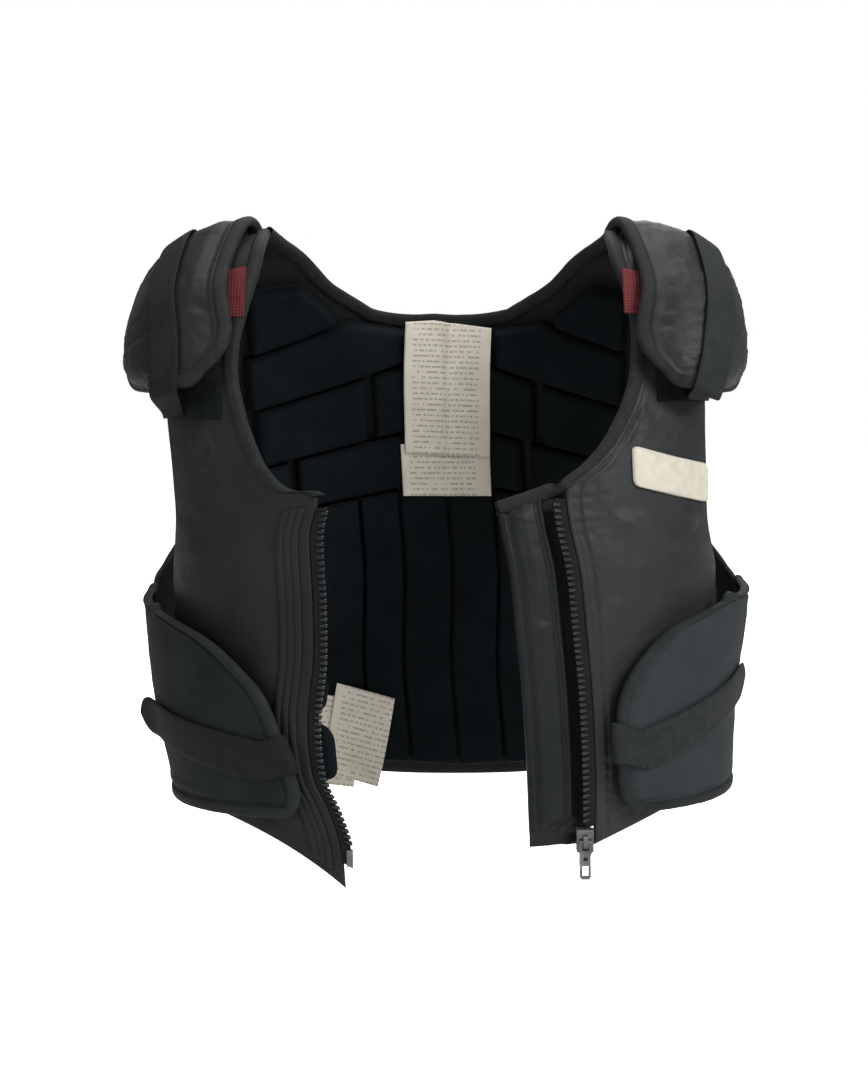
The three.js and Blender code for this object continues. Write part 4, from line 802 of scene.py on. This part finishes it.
def over_guard(face, rows):
    start = beside(face, np.array([0.0]), np.array([CORNER / rows]), -1, 0, 1)
    above = np.array([0, 0, 1])
    up = unit(start.out[0] * GUARD_SLANT + above)
    outs = np.array([[44.0], [36], [28], [20], [12], [7]])
    points = start.point + start.out * outs - start.normal * 6 - above * GUARD_SLANT * outs
    return Stations(points, np.repeat(up[None], len(outs), 0), np.repeat(start.normal, len(outs), 0))


for name, s in SIDES.items():
    rows = len(s["front"]["inner"]) - 1
    face = table_face(s["front"], PANEL_COAT, s["side"])
    v = np.linspace(CORNER / rows, 1, 60)
    stations = beside(face, 0 * v, v, -1, 0, s["side"])
    if name == "right":
        stations = join(over_guard(face, rows), stations)
    binding(f"neck_binding_front_{name}_tape", stations, PANEL_EDGE)

# Zip


def zip_stations(name, start, end, step):
    s = SIDES[name]
    rows = len(s["front"]["inner"]) - 1
    face = table_face(s["front"], PANEL_COAT, s["side"])
    v = np.linspace(start, end, 300) / rows
    return evened(beside(face, 0 * v, v, -1, 0, s["side"]), step)


ZIP_TOP = 7.6
ZIP_FOOT = {"left": 1.0, "right": 0.88}
TAPE_BELOW = {"left": 0.38, "right": 0.08}
ZIP_DEEP = 0.8
TOOTH_PITCH, TOOTH_WALL = 4.0, 3.0
TEETH_NEAR = 4.0


def rail(name, stations, near, far, top, base, crown=0.0, corners=9):
    across = np.linspace(near, far, corners)
    bulge = crown * np.sin(np.pi * np.linspace(0, 1, corners))
    loops = [stations.off(a, top - b) for a, b in zip(across, bulge)]
    loops += [stations.off(a, base) for a in across[::-1]]
    return loft(name, np.stack(loops, 1))


def tooth_points():
    """One moulded tooth in its own axes: out of the tape, along the zip and up from the tape."""
    outline = [(0, -0.85), (2.6, -0.85), (3.3, -1.35), (4.6, -1.35), (5.0, -0.8),
               (5.0, 0.8), (4.6, 1.35), (3.3, 1.35), (2.6, 0.85), (0, 0.85)]
    half = TOOTH_WALL / 2
    layers = [(0.82, -half), (1.0, -half + 0.45), (1.0, half - 0.45), (0.82, half)]
    points = []
    for share, height in layers:
        points += [(2.5 + (x - 2.5) * share, y * share, height) for x, y in outline]
    n = len(outline)
    faces = [list(range(n))[::-1], list(range(3 * n, 4 * n))]
    for layer in range(3):
        for i in range(n):
            j = (i + 1) % n
            faces.append([layer * n + i, layer * n + j, (layer + 1) * n + j, (layer + 1) * n + i])
    return np.array(points), faces


def teeth(name, stations):
    shape, faces = tooth_points()
    ahead = unit(np.gradient(stations.point, axis=0))
    points, quads = [], []
    for i in range(1, len(stations.point) - 1):
        base = stations.off(TEETH_NEAR, ZIP_DEEP)[i]
        grown = base + shape @ np.stack([stations.out[i], ahead[i], stations.normal[i]])
        quads += [[k + len(shape) * (i - 1) for k in f] for f in faces]
        points.append(grown)
    obj = build(name, np.concatenate(points), quads)
    obj.data.polygons.foreach_set("use_smooth", [False] * len(obj.data.polygons))
    return obj


for name in SIDES:
    line = zip_stations(name, ZIP_FOOT[name] - TAPE_BELOW[name], ZIP_TOP, 2.0)
    dressed(rail(f"zip_tape_{name}_weave", line, SEAM, 7.2, ZIP_DEEP - 0.6, ZIP_DEEP + 0.6), TAPE, "webbing")
    pitched = zip_stations(name, ZIP_FOOT[name], ZIP_TOP, TOOTH_PITCH)
    dressed(teeth(f"zip_teeth_{name}_moulded", pitched), TEETH, "zip_plastic")

# Padded guard behind the right zip: its edge tape, pad, rolled ridge and the recess by the teeth

# Distance from the zip's edge and height of the guard's face, which is level with the panel's at 5
GUARD_PROFILE = table(
    "across height", (0.6, -7.2), (3, -6.6), (11, -6.2), (13.5, -5.2), (15, -0.4), (16.6, -0.1), (18, -2.0),
    (21, -0.5), (28, 0.0), (35, -0.6), (37.5, -2.0), (38.6, -2.6), (39.6, -0.9), (41.5, -0.7), (43.3, -1.4),
    (44.3, -3.0))


def guard():
    s = SIDES["right"]
    rows = len(s["front"]["inner"]) - 1
    face = table_face(s["front"], PANEL_COAT, 1)
    v = np.linspace(0, CORNER, 260) / rows
    st = evened(beside(face, 0 * v, v, -1, 0, 1), EDGE_STEP)
    share = np.linspace(0, 1, len(st.point))
    across = np.linspace(0.6, 44.3, 60)
    profile = np.interp(across, GUARD_PROFILE["across"], GUARD_PROFILE["height"])
    a, t = np.meshgrid(across, share)
    foot = smooth((share - 0.075) / 0.03)[:, None]
    height = lerp(-4.2 + 0 * profile, profile, foot)
    height = height + 0.35 * waves(a, t * 230, 14, 21) * smooth((a - 17) / 3) * smooth((38 - a) / 3)
    height = height + 1.1 * waves(a, t * 230, 7, 23) * (1 - foot)
    slant = GUARD_SLANT * smooth((share - 0.9) / 0.1) - GUARD_FOOT_SLANT * smooth((0.12 - share) / 0.12)
    flat = st.point[:, None] + st.out[:, None] * across[:, None]
    flat[..., 2] -= slant[:, None] * a
    round_ends = np.clip(np.abs(a - 22.5) / 21.8, 0, 1) ** 6
    front = flat - st.normal[:, None] * (5 - height)[..., None]
    back = flat - st.normal[:, None] * (12 - 1.8 * round_ends)[..., None]
    return loft("zip_guard_cloth", np.concatenate([front, back[:, ::-1]], 1))


dressed(guard(), GUARD_PAINTED_SHADE, "cover_nylon")

# Inner pads at the left zip edge


PADS = ((2.80, 3.95, 15.0), (4.10, 4.72, 9.0))
PAD_IN, PAD_DEEP = 3.0, 9.0
for i, (start, end, reach) in enumerate(PADS):
    st = zip_stations("left", start, end, 1.2)
    share = np.linspace(0, 1, len(st.point))
    bulge = np.sqrt(np.maximum(1 - (2 * share - 1) ** 4, 0.02))
    turns = np.radians(np.linspace(-90, 90, 17))
    loops = [st.off((PAD_IN + reach) * bulge * math.cos(a) ** 0.7 - PAD_IN,
                    PANEL_EDGE + SEAM + PAD_DEEP / 2 * (1 + math.sin(a) * bulge)) for a in turns]
    dressed(loft(f"front_pad_left_{i + 1}_cloth", np.stack(loops, 1)), BLOCK, "lining_fabric")

# Wings with their rolled edges


def edge_stations(face, turned, whole, count=60):
    t = np.linspace(0, 1, count)
    low = beside(face, t[::-1], 0 * t, 0, -1, turned)
    front = beside(face, 0 * t, t, -1, 0, turned)
    high = beside(face, t, 0 * t + 1, 0, 1, turned)
    parts = [low, front, high]
    if whole:
        parts.append(beside(face, 0 * t + 1, t[::-1], 1, 0, turned))
    keep = slice(2, -2)
    return join(*[Stations(p.point[keep], p.out[keep], p.normal[keep]) for p in parts])


STRAP_ROWS = {"left": dict(front=0.797, side=0.766, row=2.75, curl=6),
              "right": dict(front=0.781, side=0.716, row=2.6, curl=0)}
STRAP_TURN, STRAP_END = 71, 24
WING_FOLDS = {
    "left": [(-168, -338, -128, -372, 2.6, 1.6), (-128, -372, -104, -388, 2.4, 1.3),
             (-150, -290, -140, -320, 9, 0.7)],
    "right": [(128, -386, 170, -366, 6, 0.7), (150, -262, 176, -250, 8, 0.7), (186, -310, 180, -352, 6, 0.8)],
}


def wing_relief(g, name):
    relief = folds(g, WING_FOLDS[name]) + 0.5 * waves(g.x, g.z, 36, 31) + 0.15 * waves(g.x, g.z, 10, 33)
    border = np.minimum(np.minimum(g.left, g.low), g.high)
    relief -= 0.9 * line_at(border, 4.6, 1.3)
    relief += 0.5 * line_at(border, 9, 3)
    row = STRAP_ROWS[name]
    share = smooth((np.abs(g.x) - 95) / 115)
    strap_z = -HEIGHT * lerp(row["front"], row["side"], share)
    pressed = np.exp(-((g.z - strap_z) / 15) ** 4)
    relief = np.minimum(relief, 0.6) * (1 - pressed) + pressed * np.minimum(relief, -0.2)
    return relief * smooth(g.right / 6)


for name, s in SIDES.items():
    face = table_face(s["wing"], OUTER_COAT, s["side"])
    g = Grid(face, spaced(94, 0.3), spaced(110, 0.3), s["side"])
    wall = swell(g, WING_WALL, WING_EDGE, 0.1, 0.14)
    fall = rounding(g, 1.8)
    wing = shell(f"wing_{name}_cloth", g, wing_relief(g, name) - fall, fall - wall)
    dressed(wing, s["wing_cloth"], "wing_fabric")
    edge = edge_stations(face, s["side"], False)
    binding(f"wing_binding_{name}_tape", edge, WING_EDGE, WING_BIND, reach=2.6, lip=0.55)

flap = Grid(lifted(patch_face(PANEL_COAT, -1, 0.545, 0.730, 0.790, 0.893), FLAP_WALL + 2 * SEAM, -1),
            spaced(40), spaced(50), -1)
flap_cloth = shell("wing_flap_left_cloth", flap, 0.3 * waves(flap.x, flap.z, 15, 61) - rounding(flap, 1.0),
                   rounding(flap, 1.0) * 0.2 - FLAP_WALL)
dressed(flap_cloth, WING_LEFT_CLOTH_PAINTED_SHADE, "wing_fabric")

# Back cover with its neck binding


NECK_SHARE = NECK_ROW / BACK_ROWS
us = np.unique(np.concatenate([np.linspace(0, STRIP_SHARE, 56), np.linspace(STRIP_SHARE, 1 - STRIP_SHARE, 76),
                               np.linspace(1 - STRIP_SHARE, 1, 56)]))
vs = np.unique(np.concatenate([np.linspace(0, NECK_SHARE, 124), np.linspace(NECK_SHARE, 1, 58)]))
g = Grid(back_face, us, vs, -1)
open_row = vs[:-1] >= NECK_SHARE - 1e-9
open_column = (us[:-1] >= STRIP_SHARE - 1e-9) & (us[:-1] < 1 - STRIP_SHARE - 1e-9)
kept = ~(open_row[:, None] & open_column[None, :])


def block_lines(x, z):
    """How near a point of the back is to a seam between the padding blocks, from 0 to 1."""
    near = np.zeros(np.broadcast(x, z).shape)
    for line in ("first", "second", "third", "fourth"):
        seam_z = -HEIGHT * line_drop(line, x)
        near = np.maximum(near, line_at(z, seam_z, 2.2) * smooth((HALF * 0.7 - np.abs(x)) / 8))
    for share in (-0.475, -0.30, -0.15, 0.028, 0.20, 0.375):
        below = smooth((-line_drop("fourth", x) * HEIGHT - z) / 5)
        near = np.maximum(near, line_at(x, share * HALF, 2.0) * below)
    return near


outer = 0.6 * waves(g.x, g.z, 40, 71) - 0.9 * block_lines(g.x, g.z)
outer += 0.2 * waves(g.x, g.z, 11, 73)
hem = np.where(g.v < NECK_SHARE, g.low, 50)
outer -= 0.7 * line_at(hem, 11, 1.1)
side = np.minimum(g.left, g.right)
outer -= 0.6 * line_at(side, 8, 1.1)
fall = rounding(g, 1.6)
fall = np.where(hem < 1.6, 1.6 - np.sqrt(np.maximum(1.6 ** 2 - (1.6 - np.minimum(hem, 1.6)) ** 2, 0)), 0)
fall = np.maximum(fall, 1.6 - np.sqrt(np.maximum(1.6 ** 2 - (1.6 - np.minimum(side, 1.6)) ** 2, 0)))
inner = -COVER_WALL + fall + 0.25 * waves(g.x, g.z, 18, 75) * smooth(g.edge / 8)
edge_fade = smooth(g.edge / 7)
cover = shell("back_cover_cloth", g, outer * edge_fade - fall, np.minimum(inner, -2.2), kept,
              np.stack([g.x, g.z], -1))
# The back cover takes the cover nylon's darker copy, whose colour is painted shade
dressed(cover, COVER_INSIDE_PAINTED_SHADE, "cover_nylon", stands_for=("back_cover_left", "back_cover_right"))

v = np.linspace(NECK_SHARE, 1, 60)
u = np.linspace(STRIP_SHARE, 1 - STRIP_SHARE, 120)
neck = join(beside(back_face, 0 * v + STRIP_SHARE, v[::-1], 1, 0, -1),
            beside(back_face, u[2:-2], 0 * u[2:-2] + NECK_SHARE, 0, 1, -1),
            beside(back_face, 0 * v + 1 - STRIP_SHARE, v, -1, 0, -1))
neck.out = unit(np.cross(np.gradient(neck.point, axis=0), neck.normal))
binding("neck_binding_back_tape", neck, COVER_WALL, reach=4.4)

# Padding blocks inside the back: crowned towards the wearer, with soft shoulders


BLOCKS = {
    "upper_left": ("upper", "first", -0.66, -0.345), "upper_right": ("upper", "first", 0.42, 0.68),
    "shoulder_left": ("shoulder", "second", -0.68, -0.10), "middle": ("loop", "second", -0.08, 0.19),
    "shoulder_right": ("shoulder", "second", 0.21, 0.68), "chest_left": ("second", "third", -0.66, -0.25),
    "chest_middle": ("second", "third", -0.23, 0.362), "chest_right": ("second", "third", 0.382, 0.66),
    "waist_left": ("third", "fourth", -0.66, -0.545), "waist_middle": ("third", "fourth", -0.525, 0.314),
    "waist_right": ("third", "fourth", 0.334, 0.64), "side_left": ("fourth", "hem", -0.80, -0.475),
    "channel_1": ("fourth", "hem", -0.475, -0.30), "channel_2": ("fourth", "hem", -0.30, -0.15),
    "channel_3": ("fourth", "hem", -0.15, 0.028), "channel_4": ("fourth", "hem", 0.028, 0.20),
    "channel_5": ("fourth", "hem", 0.20, 0.375), "side_right": ("fourth", "hem", 0.375, 0.80),
}
for index, (name, (top, foot, start, end)) in enumerate(BLOCKS.items()):
    face = lifted(block_face(top, foot, start, end), -(COVER_WALL + BLOCK_GAP), -1)
    tall = foot == "hem"
    g = Grid(face, spaced(40, 0.7), spaced(76 if tall else 38, 0.7), -1)
    radius = 2.6 if tall else 5.0
    full = BLOCK_WALL - 0.9
    near = np.clip(1 - g.edge / radius, 0, 1)
    wall = full - radius * (1 - np.sqrt(1 - near ** 2)) + 0.5 * smooth(g.edge / 18)
    uneven = 0.25 * waves(g.x, g.z, 24, 80 + index) + 0.08 * waves(g.x, g.z, 6, 100 + index)
    wall += uneven * smooth(g.edge / 7)
    aside = 4.5 if not tall else 2.0
    corner_u, corner_v = np.minimum(g.left, g.right), np.minimum(g.low, g.high)
    in_corner = np.maximum(aside - corner_u, 0) + np.maximum(aside - corner_v, 0)
    wall -= 3.5 * smooth((in_corner - aside) / aside)
    back = -0.5 * smooth(near)
    piece = shell(f"back_block_{name}_cloth", g, back, -wall, uv=np.stack([g.x, g.z], -1))
    dressed(piece, BLOCK, "lining_fabric")

# Shoulder caps: quilted, bound, held down by elastic straps


CAP_STRAP = {"left": 0.30, "right": 0.33}


def cap_relief(g, name):
    border = g.edge
    relief = 1.5 * smooth((border - 8) / 12)
    stitched = np.maximum(line_at(g.v, 0.30 + 0.02 * np.sin(g.u * 9), 0.012), line_at(g.v, 0.70, 0.012))
    relief -= 1.7 * stitched * smooth((border - 7) / 4)
    relief -= 1.0 * line_at(border, 8, 1.0)
    relief += 0.5 * line_at(border, 4.5, 2.0)
    relief += 0.55 * waves(g.left * 1.3, g.low, 16, 51 if name == "left" else 57) * smooth((border - 4) / 8)
    wrinkles = 0.56 if name == "right" else 0.35
    relief += wrinkles * waves(g.left, g.low * 2.2, 7, 59) * smooth((border - 4) / 8)
    strap = line_at((g.u - CAP_STRAP[name]) * g.left[:, -1:], 0, 13) * smooth(border / 6)
    relief = relief * (1 - 0.9 * strap) - 0.4 * strap
    return np.minimum(relief, 2.6) * smooth(border / 5)


for name, s in SIDES.items():
    side = s["side"]
    face = cap_face(name)
    g = Grid(face, spaced(84, 0.2), spaced(124, 0.2), side)
    wall = swell(g, CAP_WALL, CAP_EDGE, 0.16, 0.1)
    fall = rounding(g, 1.5)
    cap = shell(f"shoulder_cap_{name}_cloth", g, cap_relief(g, name) - fall, fall - wall)
    dressed(cap, s["cap"], "cover_nylon")
    binding(f"cap_binding_{name}_tape", edge_stations(face, side, True, 70), CAP_EDGE, ring=True, reach=3.6)

# Straps, patches and labels

SHOULDER_STRAP, WING_STRAP, ROUND_END = 22, 27, 12


def strap(name, point, across, out, width, material, taper=1.0):
    """A flat woven strap over stations, with a slight crown and soft edges."""
    corners = np.linspace(-1, 1, 11)
    widths = width / 2 * taper * np.ones(len(point))
    crown = 0.25 * (1 - corners ** 2)
    top = np.stack([point + across * (c * widths)[:, None] + out * (WEBBING * 0.92 + b - 0.35 * abs(c) ** 8)
                    for c, b in zip(corners, crown)], 1)
    base = np.stack([point + across * (c * widths)[:, None] + out * (0.35 * abs(c) ** 8)
                     for c in corners[::-1]], 1)
    dressed(loft(name, np.concatenate([top, base], 1)), material, "webbing")


def strap_frames(face, u, v, along_u, along_v, height, turned):
    """Points a height above a face, with the way across the strap and the way out."""
    u, v = np.broadcast_arrays(np.asarray(u, float), np.asarray(v, float))
    out = normal_at(face, u, v, turned)
    ahead = unit(face(u + along_u * STEP, v + along_v * STEP) - face(u - along_u * STEP, v - along_v * STEP))
    return face(u, v) + out * height, unit(np.cross(ahead, out)), out


VELCRO = {"left": (0.665, 0.865, 0.232, 0.288), "right": (0.690, 0.860, 0.205, 0.262)}
RED_PATCH = {"left": (0.592, 0.662, 0.060, 0.135), "right": (0.592, 0.660, 0.062, 0.130)}

for name, s in SIDES.items():
    side = s["side"]
    velcro = patch_face(PANEL_COAT, side, *VELCRO[name])
    g = Grid(lifted(velcro, 2.0, side), spaced(60), spaced(40), side)
    fuzz = 0.15 * waves(g.x, g.z, 4, 91) - rounding(g, 0.7)
    patch = shell(f"velcro_patch_{name}_loops", g, fuzz, 0 * g.u - 1.4)
    dressed(patch, LOOP_CLOTH, "webbing")
    red = patch_face(PANEL_COAT, side, *RED_PATCH[name])
    g = Grid(lifted(red, 1.8, side), spaced(40), spaced(60), side)
    rumples = 0.4 * waves(g.x, g.z, 9, 93) * smooth(g.edge / 3)
    patch = shell(f"red_patch_{name}_mesh", g, rumples, 0 * g.u - 1.1)
    dressed(patch, RED, "red_fabric")

    face = cap_face(name)
    place = CAP_STRAP[name]
    v = np.linspace(0.92, 0, 120)
    points, acrosses, outs = strap_frames(face, place + 0 * v, v, 0, -1, 2.0, side)
    edge = beside(face, np.array([place]), np.array([0.0]), 0, -1, side)
    turn_point = edge.off(2 * BINDING + 4, -BINDING / 2)
    v = np.array([0.14, 0.08, 0.02])
    low, low_across, low_out = strap_frames(velcro, 0 * v + 0.76, v, 0, -1, 2.6, side)
    point = np.concatenate([points, turn_point, low])
    across = np.concatenate([acrosses, acrosses[-1:], low_across])
    out = np.concatenate([outs, outs[-1:], low_out])
    length = lengths(point)
    point, across, out = spread_along(length, np.linspace(0, length[-1], 150), point, across, out)
    across, out = unit(softened(across, 10)), unit(softened(out, 10))
    strap(f"shoulder_strap_{name}_web", softened(point, 6), across, out, SHOULDER_STRAP, s["strap"])

for name, s in SIDES.items():
    row, side, rows = STRAP_ROWS[name], s["side"], len(s["wing"]["inner"]) - 1
    face = table_face(s["wing"], OUTER_COAT, side)
    at = np.array([row["row"] / rows])
    edge = beside(face, np.array([0.0]), at, -1, 0, side)
    up = unit(face(np.array([0.0]), at + STEP) - face(np.array([0.0]), at - STEP))
    reach = 2 * BINDING + 4 * SEAM
    bend = [(edge.off(reach, WING_EDGE * 0.7), edge.out), (edge.off(reach, 0), unit(edge.out + edge.normal)),
            (edge.off(reach * 0.6, -BINDING + WING_EDGE / 2 - SEAM), edge.normal)]
    shift = along(SECTIONS, "drop", "shift", row["front"]) * HALF
    front_turn = abs(turn_at(OUTER_COAT, edge.point[0, 0] - shift, row["front"])) + 4

    def path(u, v, row=row, front_turn=front_turn, side=side):
        drop = lerp(row["front"], row["side"], u) - v
        return on_body(OUTER_COAT, side * lerp(front_turn, STRAP_TURN, u), drop)

    u = np.linspace(0, 1, 90)
    points, acrosses, outs = strap_frames(path, u, 0 * u, 1, 0, 1.2, side)
    ahead = unit(np.cross(outs[-1], acrosses[-1]))
    tips = np.linspace(0, 1, 15)[1:, None]
    tip_points = points[-1] + ahead * STRAP_END * tips + outs[-1] * row["curl"] * tips ** 2
    point = np.concatenate([b[0] for b in bend] + [points, tip_points])
    across = np.concatenate([up] * 3 + [acrosses, np.repeat(acrosses[-1:], 14, 0)])
    across[:3] *= np.sign(np.sum(across[0] * across[3]))
    out = np.concatenate([b[1] for b in bend] + [outs, np.repeat(outs[-1:], 14, 0)])
    length = lengths(point)
    stations = np.linspace(0, length[-1], 170)
    point, across, out = spread_along(length, stations, point, across, out)
    across, out = unit(softened(across, 5)), unit(softened(out, 5))
    to_end = np.clip((length[-1] - stations) / ROUND_END, 0, 1)
    taper = np.sqrt(np.maximum(1 - (1 - to_end) ** 2, 0.02))
    strap(f"wing_strap_{name}_web", softened(point, 4), across, out, WING_STRAP, s["strap"], taper=taper)

# Placket: three stitched ribs beside the left zip


def placket_face(u, v):
    at = lerp(0.35, 7.7, v) / (len(FRONT_LEFT["inner"]) - 1)
    face = table_face(FRONT_LEFT, PANEL_COAT, -1)
    edge = face(0 * at, at)
    inwards = np.linalg.norm(face(0 * at + 0.05, at) - edge, axis=-1)
    return face(0.05 * (8 + 16 * u) / inwards, at)


g = Grid(placket_face, spaced(36), spaced(130), -1)
ribs = 1.6 * (0.4 + 0.6 * np.abs(np.sin(3 * math.pi * g.u)) ** 0.6) + 0.12 * waves(g.x, g.z, 5, 95)
ribs *= smooth(np.minimum(g.low, g.high) / 3) * 0.6 + 0.4
placket = shell("placket_left_cloth", g, 0.6 + ribs, 0 * g.u + 0.3)
dressed(placket, COVER, "cover_nylon")

# Labels and hanger loop


INSIDE = COVER_WALL + BLOCK_GAP + BLOCK_WALL + 2 * SEAM


def label(name, face, outward):
    g = Grid(face, spaced(40), spaced(60), -1)
    bend = outward(g)
    sheet = shell(f"{name}_cloth", g, -bend, -bend - 0.35, uv=np.stack([g.left, g.low], -1))
    dressed(sheet, LABEL, "label_tape")


UPPER = INSIDE + LABEL_WALL + 2 * SEAM
NECK_TOP, NECK_UPPER_SHOWS = 0.140, 86
label("neck_label_upper", back_patch(19, NECK_TOP, 66, 94, UPPER, -0.035),
      lambda g: 1.2 * line_at(g.u, 0.52, 0.05) + 2.5 * smooth((0.15 - g.v) / 0.15) * (g.u - 0.2))
label("neck_label_lower", back_patch(14, NECK_TOP + NECK_UPPER_SHOWS / HEIGHT, 69, 41, INSIDE),
      lambda g: 0.5 * line_at(g.u, 0.5, 0.06))
label("side_label_front", back_patch(-56, 0.787, 46, 67, UPPER, -0.28),
      lambda g: 3.0 * smooth((0.6 - g.v) / 0.6) * g.u ** 2 + 0.8 * waves(g.left, g.low, 30, 97))
label("side_label_back", back_patch(-84, 0.795, 46, 67, INSIDE, -0.15),
      lambda g: 0.4 * waves(g.left, g.low, 30, 99))

g = Grid(back_patch(26, 0.149, 31, 6, COVER_WALL + 2 * SEAM), spaced(30), spaced(12), -1)
loop = shell("hanger_loop_web", g, -0.6 * np.sin(np.pi * g.u), -1.5 - 0.9 * np.sin(np.pi * g.u))
# The loop takes the strap webbing's darker copy, whose colour is painted shade
dressed(loop, STRAP_LEFT_PAINTED_SHADE, "webbing")

# Moulded badge: bare, with a raised rim


BADGE_WIDTH, BADGE_HEIGHT, BADGE_ROUND = 54, 26, 4


def badge_place(u, v):
    """Turn and drop on the panel; u runs between the outline's sides, which close in at the corners."""
    z = (v - 0.5) * BADGE_HEIGHT
    into = np.clip(np.abs(z) - (BADGE_HEIGHT / 2 - BADGE_ROUND), 0, BADGE_ROUND)
    reach = BADGE_WIDTH / 2 - BADGE_ROUND + np.sqrt(BADGE_ROUND ** 2 - into ** 2)
    x = (2 * u - 1) * reach
    drop = 0.373 + (0.27 * x - z) / HEIGHT
    centre = 0.722 * HALF
    return turn_at(PANEL_COAT, centre + x, drop), drop


g = Grid(lambda u, v: on_body(PANEL_COAT, *badge_place(u, v)), spaced(54, 0.6), spaced(36, 0.9), 1)
g.n = normal_at(lambda turn, drop: on_body(PANEL_COAT, turn, drop), *badge_place(g.u, g.v), -1)
g.p = g.p + 3.0 * g.n
rim = g.edge
height = -0.9 + 0.9 * line_at(rim, 1.7, 0.8) - 0.9 * smooth((0.7 - rim) / 0.7)
badge = shell("chest_badge_rubber", g, height, 0 * g.u - 2.3)
dressed(badge, BADGE, "badge_rubber")

# The zip's metal: the frame's own pieces with softened edges


for node in ("zip_slider", "zip_pull", "zip_pin", "zip_box"):
    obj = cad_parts[node]
    obj.data.materials.clear()
    obj.data.materials.append(METAL)
    bevel = obj.modifiers.new("edges", "BEVEL")
    bevel.width = 0.00035
    bevel.segments = 2
    bevel.limit_method = "ANGLE"

# Floor and soft studio light


def plain(name, colour, rough):
    m = Nodes(name, colour, rough)
    m.colour(m.mix(m.spread(m.noise(0.5, 2), 0.3, 0.7), colour, tuple(0.99 * c for c in colour)))
    m.shader.inputs["Emission Color"].default_value = (1, 1, 1, 1)
    seen = m.add("ShaderNodeLightPath").outputs["Is Camera Ray"]
    m.tree.links.new(seen, m.shader.inputs["Emission Strength"])
    return m.material


floor_mesh = bpy.data.meshes.new("floor")
floor_mesh.from_pydata([(-8, -8, 0), (8, -8, 0), (8, 8, 0), (-8, 8, 0)], [], [(0, 1, 2, 3)])
floor = bpy.data.objects.new("floor", floor_mesh)
bpy.context.collection.objects.link(floor)
floor.location.z = -0.56
floor.data.materials.append(plain("floor_paint", (0.92, 0.92, 0.92), 0.8))
floor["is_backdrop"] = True


def area_light(name, place, size, power, colour=(1, 1, 1)):
    data = bpy.data.lights.new(name, "AREA")
    data.size = size
    data.energy = power
    data.color = colour
    light = bpy.data.objects.new(name, data)
    bpy.context.collection.objects.link(light)
    light.location = place
    light.rotation_euler = (AIM - Vector(place)).to_track_quat("-Z", "Y").to_euler()


area_light("key", (1.5, -1.6, 1.1), 1.2, 52)
area_light("fill", (-1.7, -1.5, 0.7), 1.4, 12)
area_light("top", (0.1, 0.3, 1.9), 1.6, 26)
area_light("behind", (0.2, 2.0, 0.9), 1.4, 14)

# White behind the vest for the camera, and a dimmer grey light from all round
world = bpy.data.worlds.new("studio")
world.use_nodes = True
tree = world.node_tree
for name, shade in (("seen", 1.0), ("lighting", 0.22)):
    node = tree.nodes.new("ShaderNodeBackground")
    node.name = name
    node.inputs["Color"].default_value = (shade, shade, shade, 1)
rays = tree.nodes.new("ShaderNodeLightPath")
mix = tree.nodes.new("ShaderNodeMixShader")
tree.links.new(rays.outputs["Is Camera Ray"], mix.inputs[0])
tree.links.new(tree.nodes["lighting"].outputs[0], mix.inputs[1])
tree.links.new(tree.nodes["seen"].outputs[0], mix.inputs[2])
tree.links.new(mix.outputs[0], tree.nodes["World Output"].inputs["Surface"])
bpy.context.scene.world = world
bpy.context.scene.view_settings.view_transform = "Standard"

visual_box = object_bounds()
as_list = lambda box: [[float(c) for c in corner] for corner in box]
{"cad": as_list(cad_box), "visual": as_list(visual_box)}
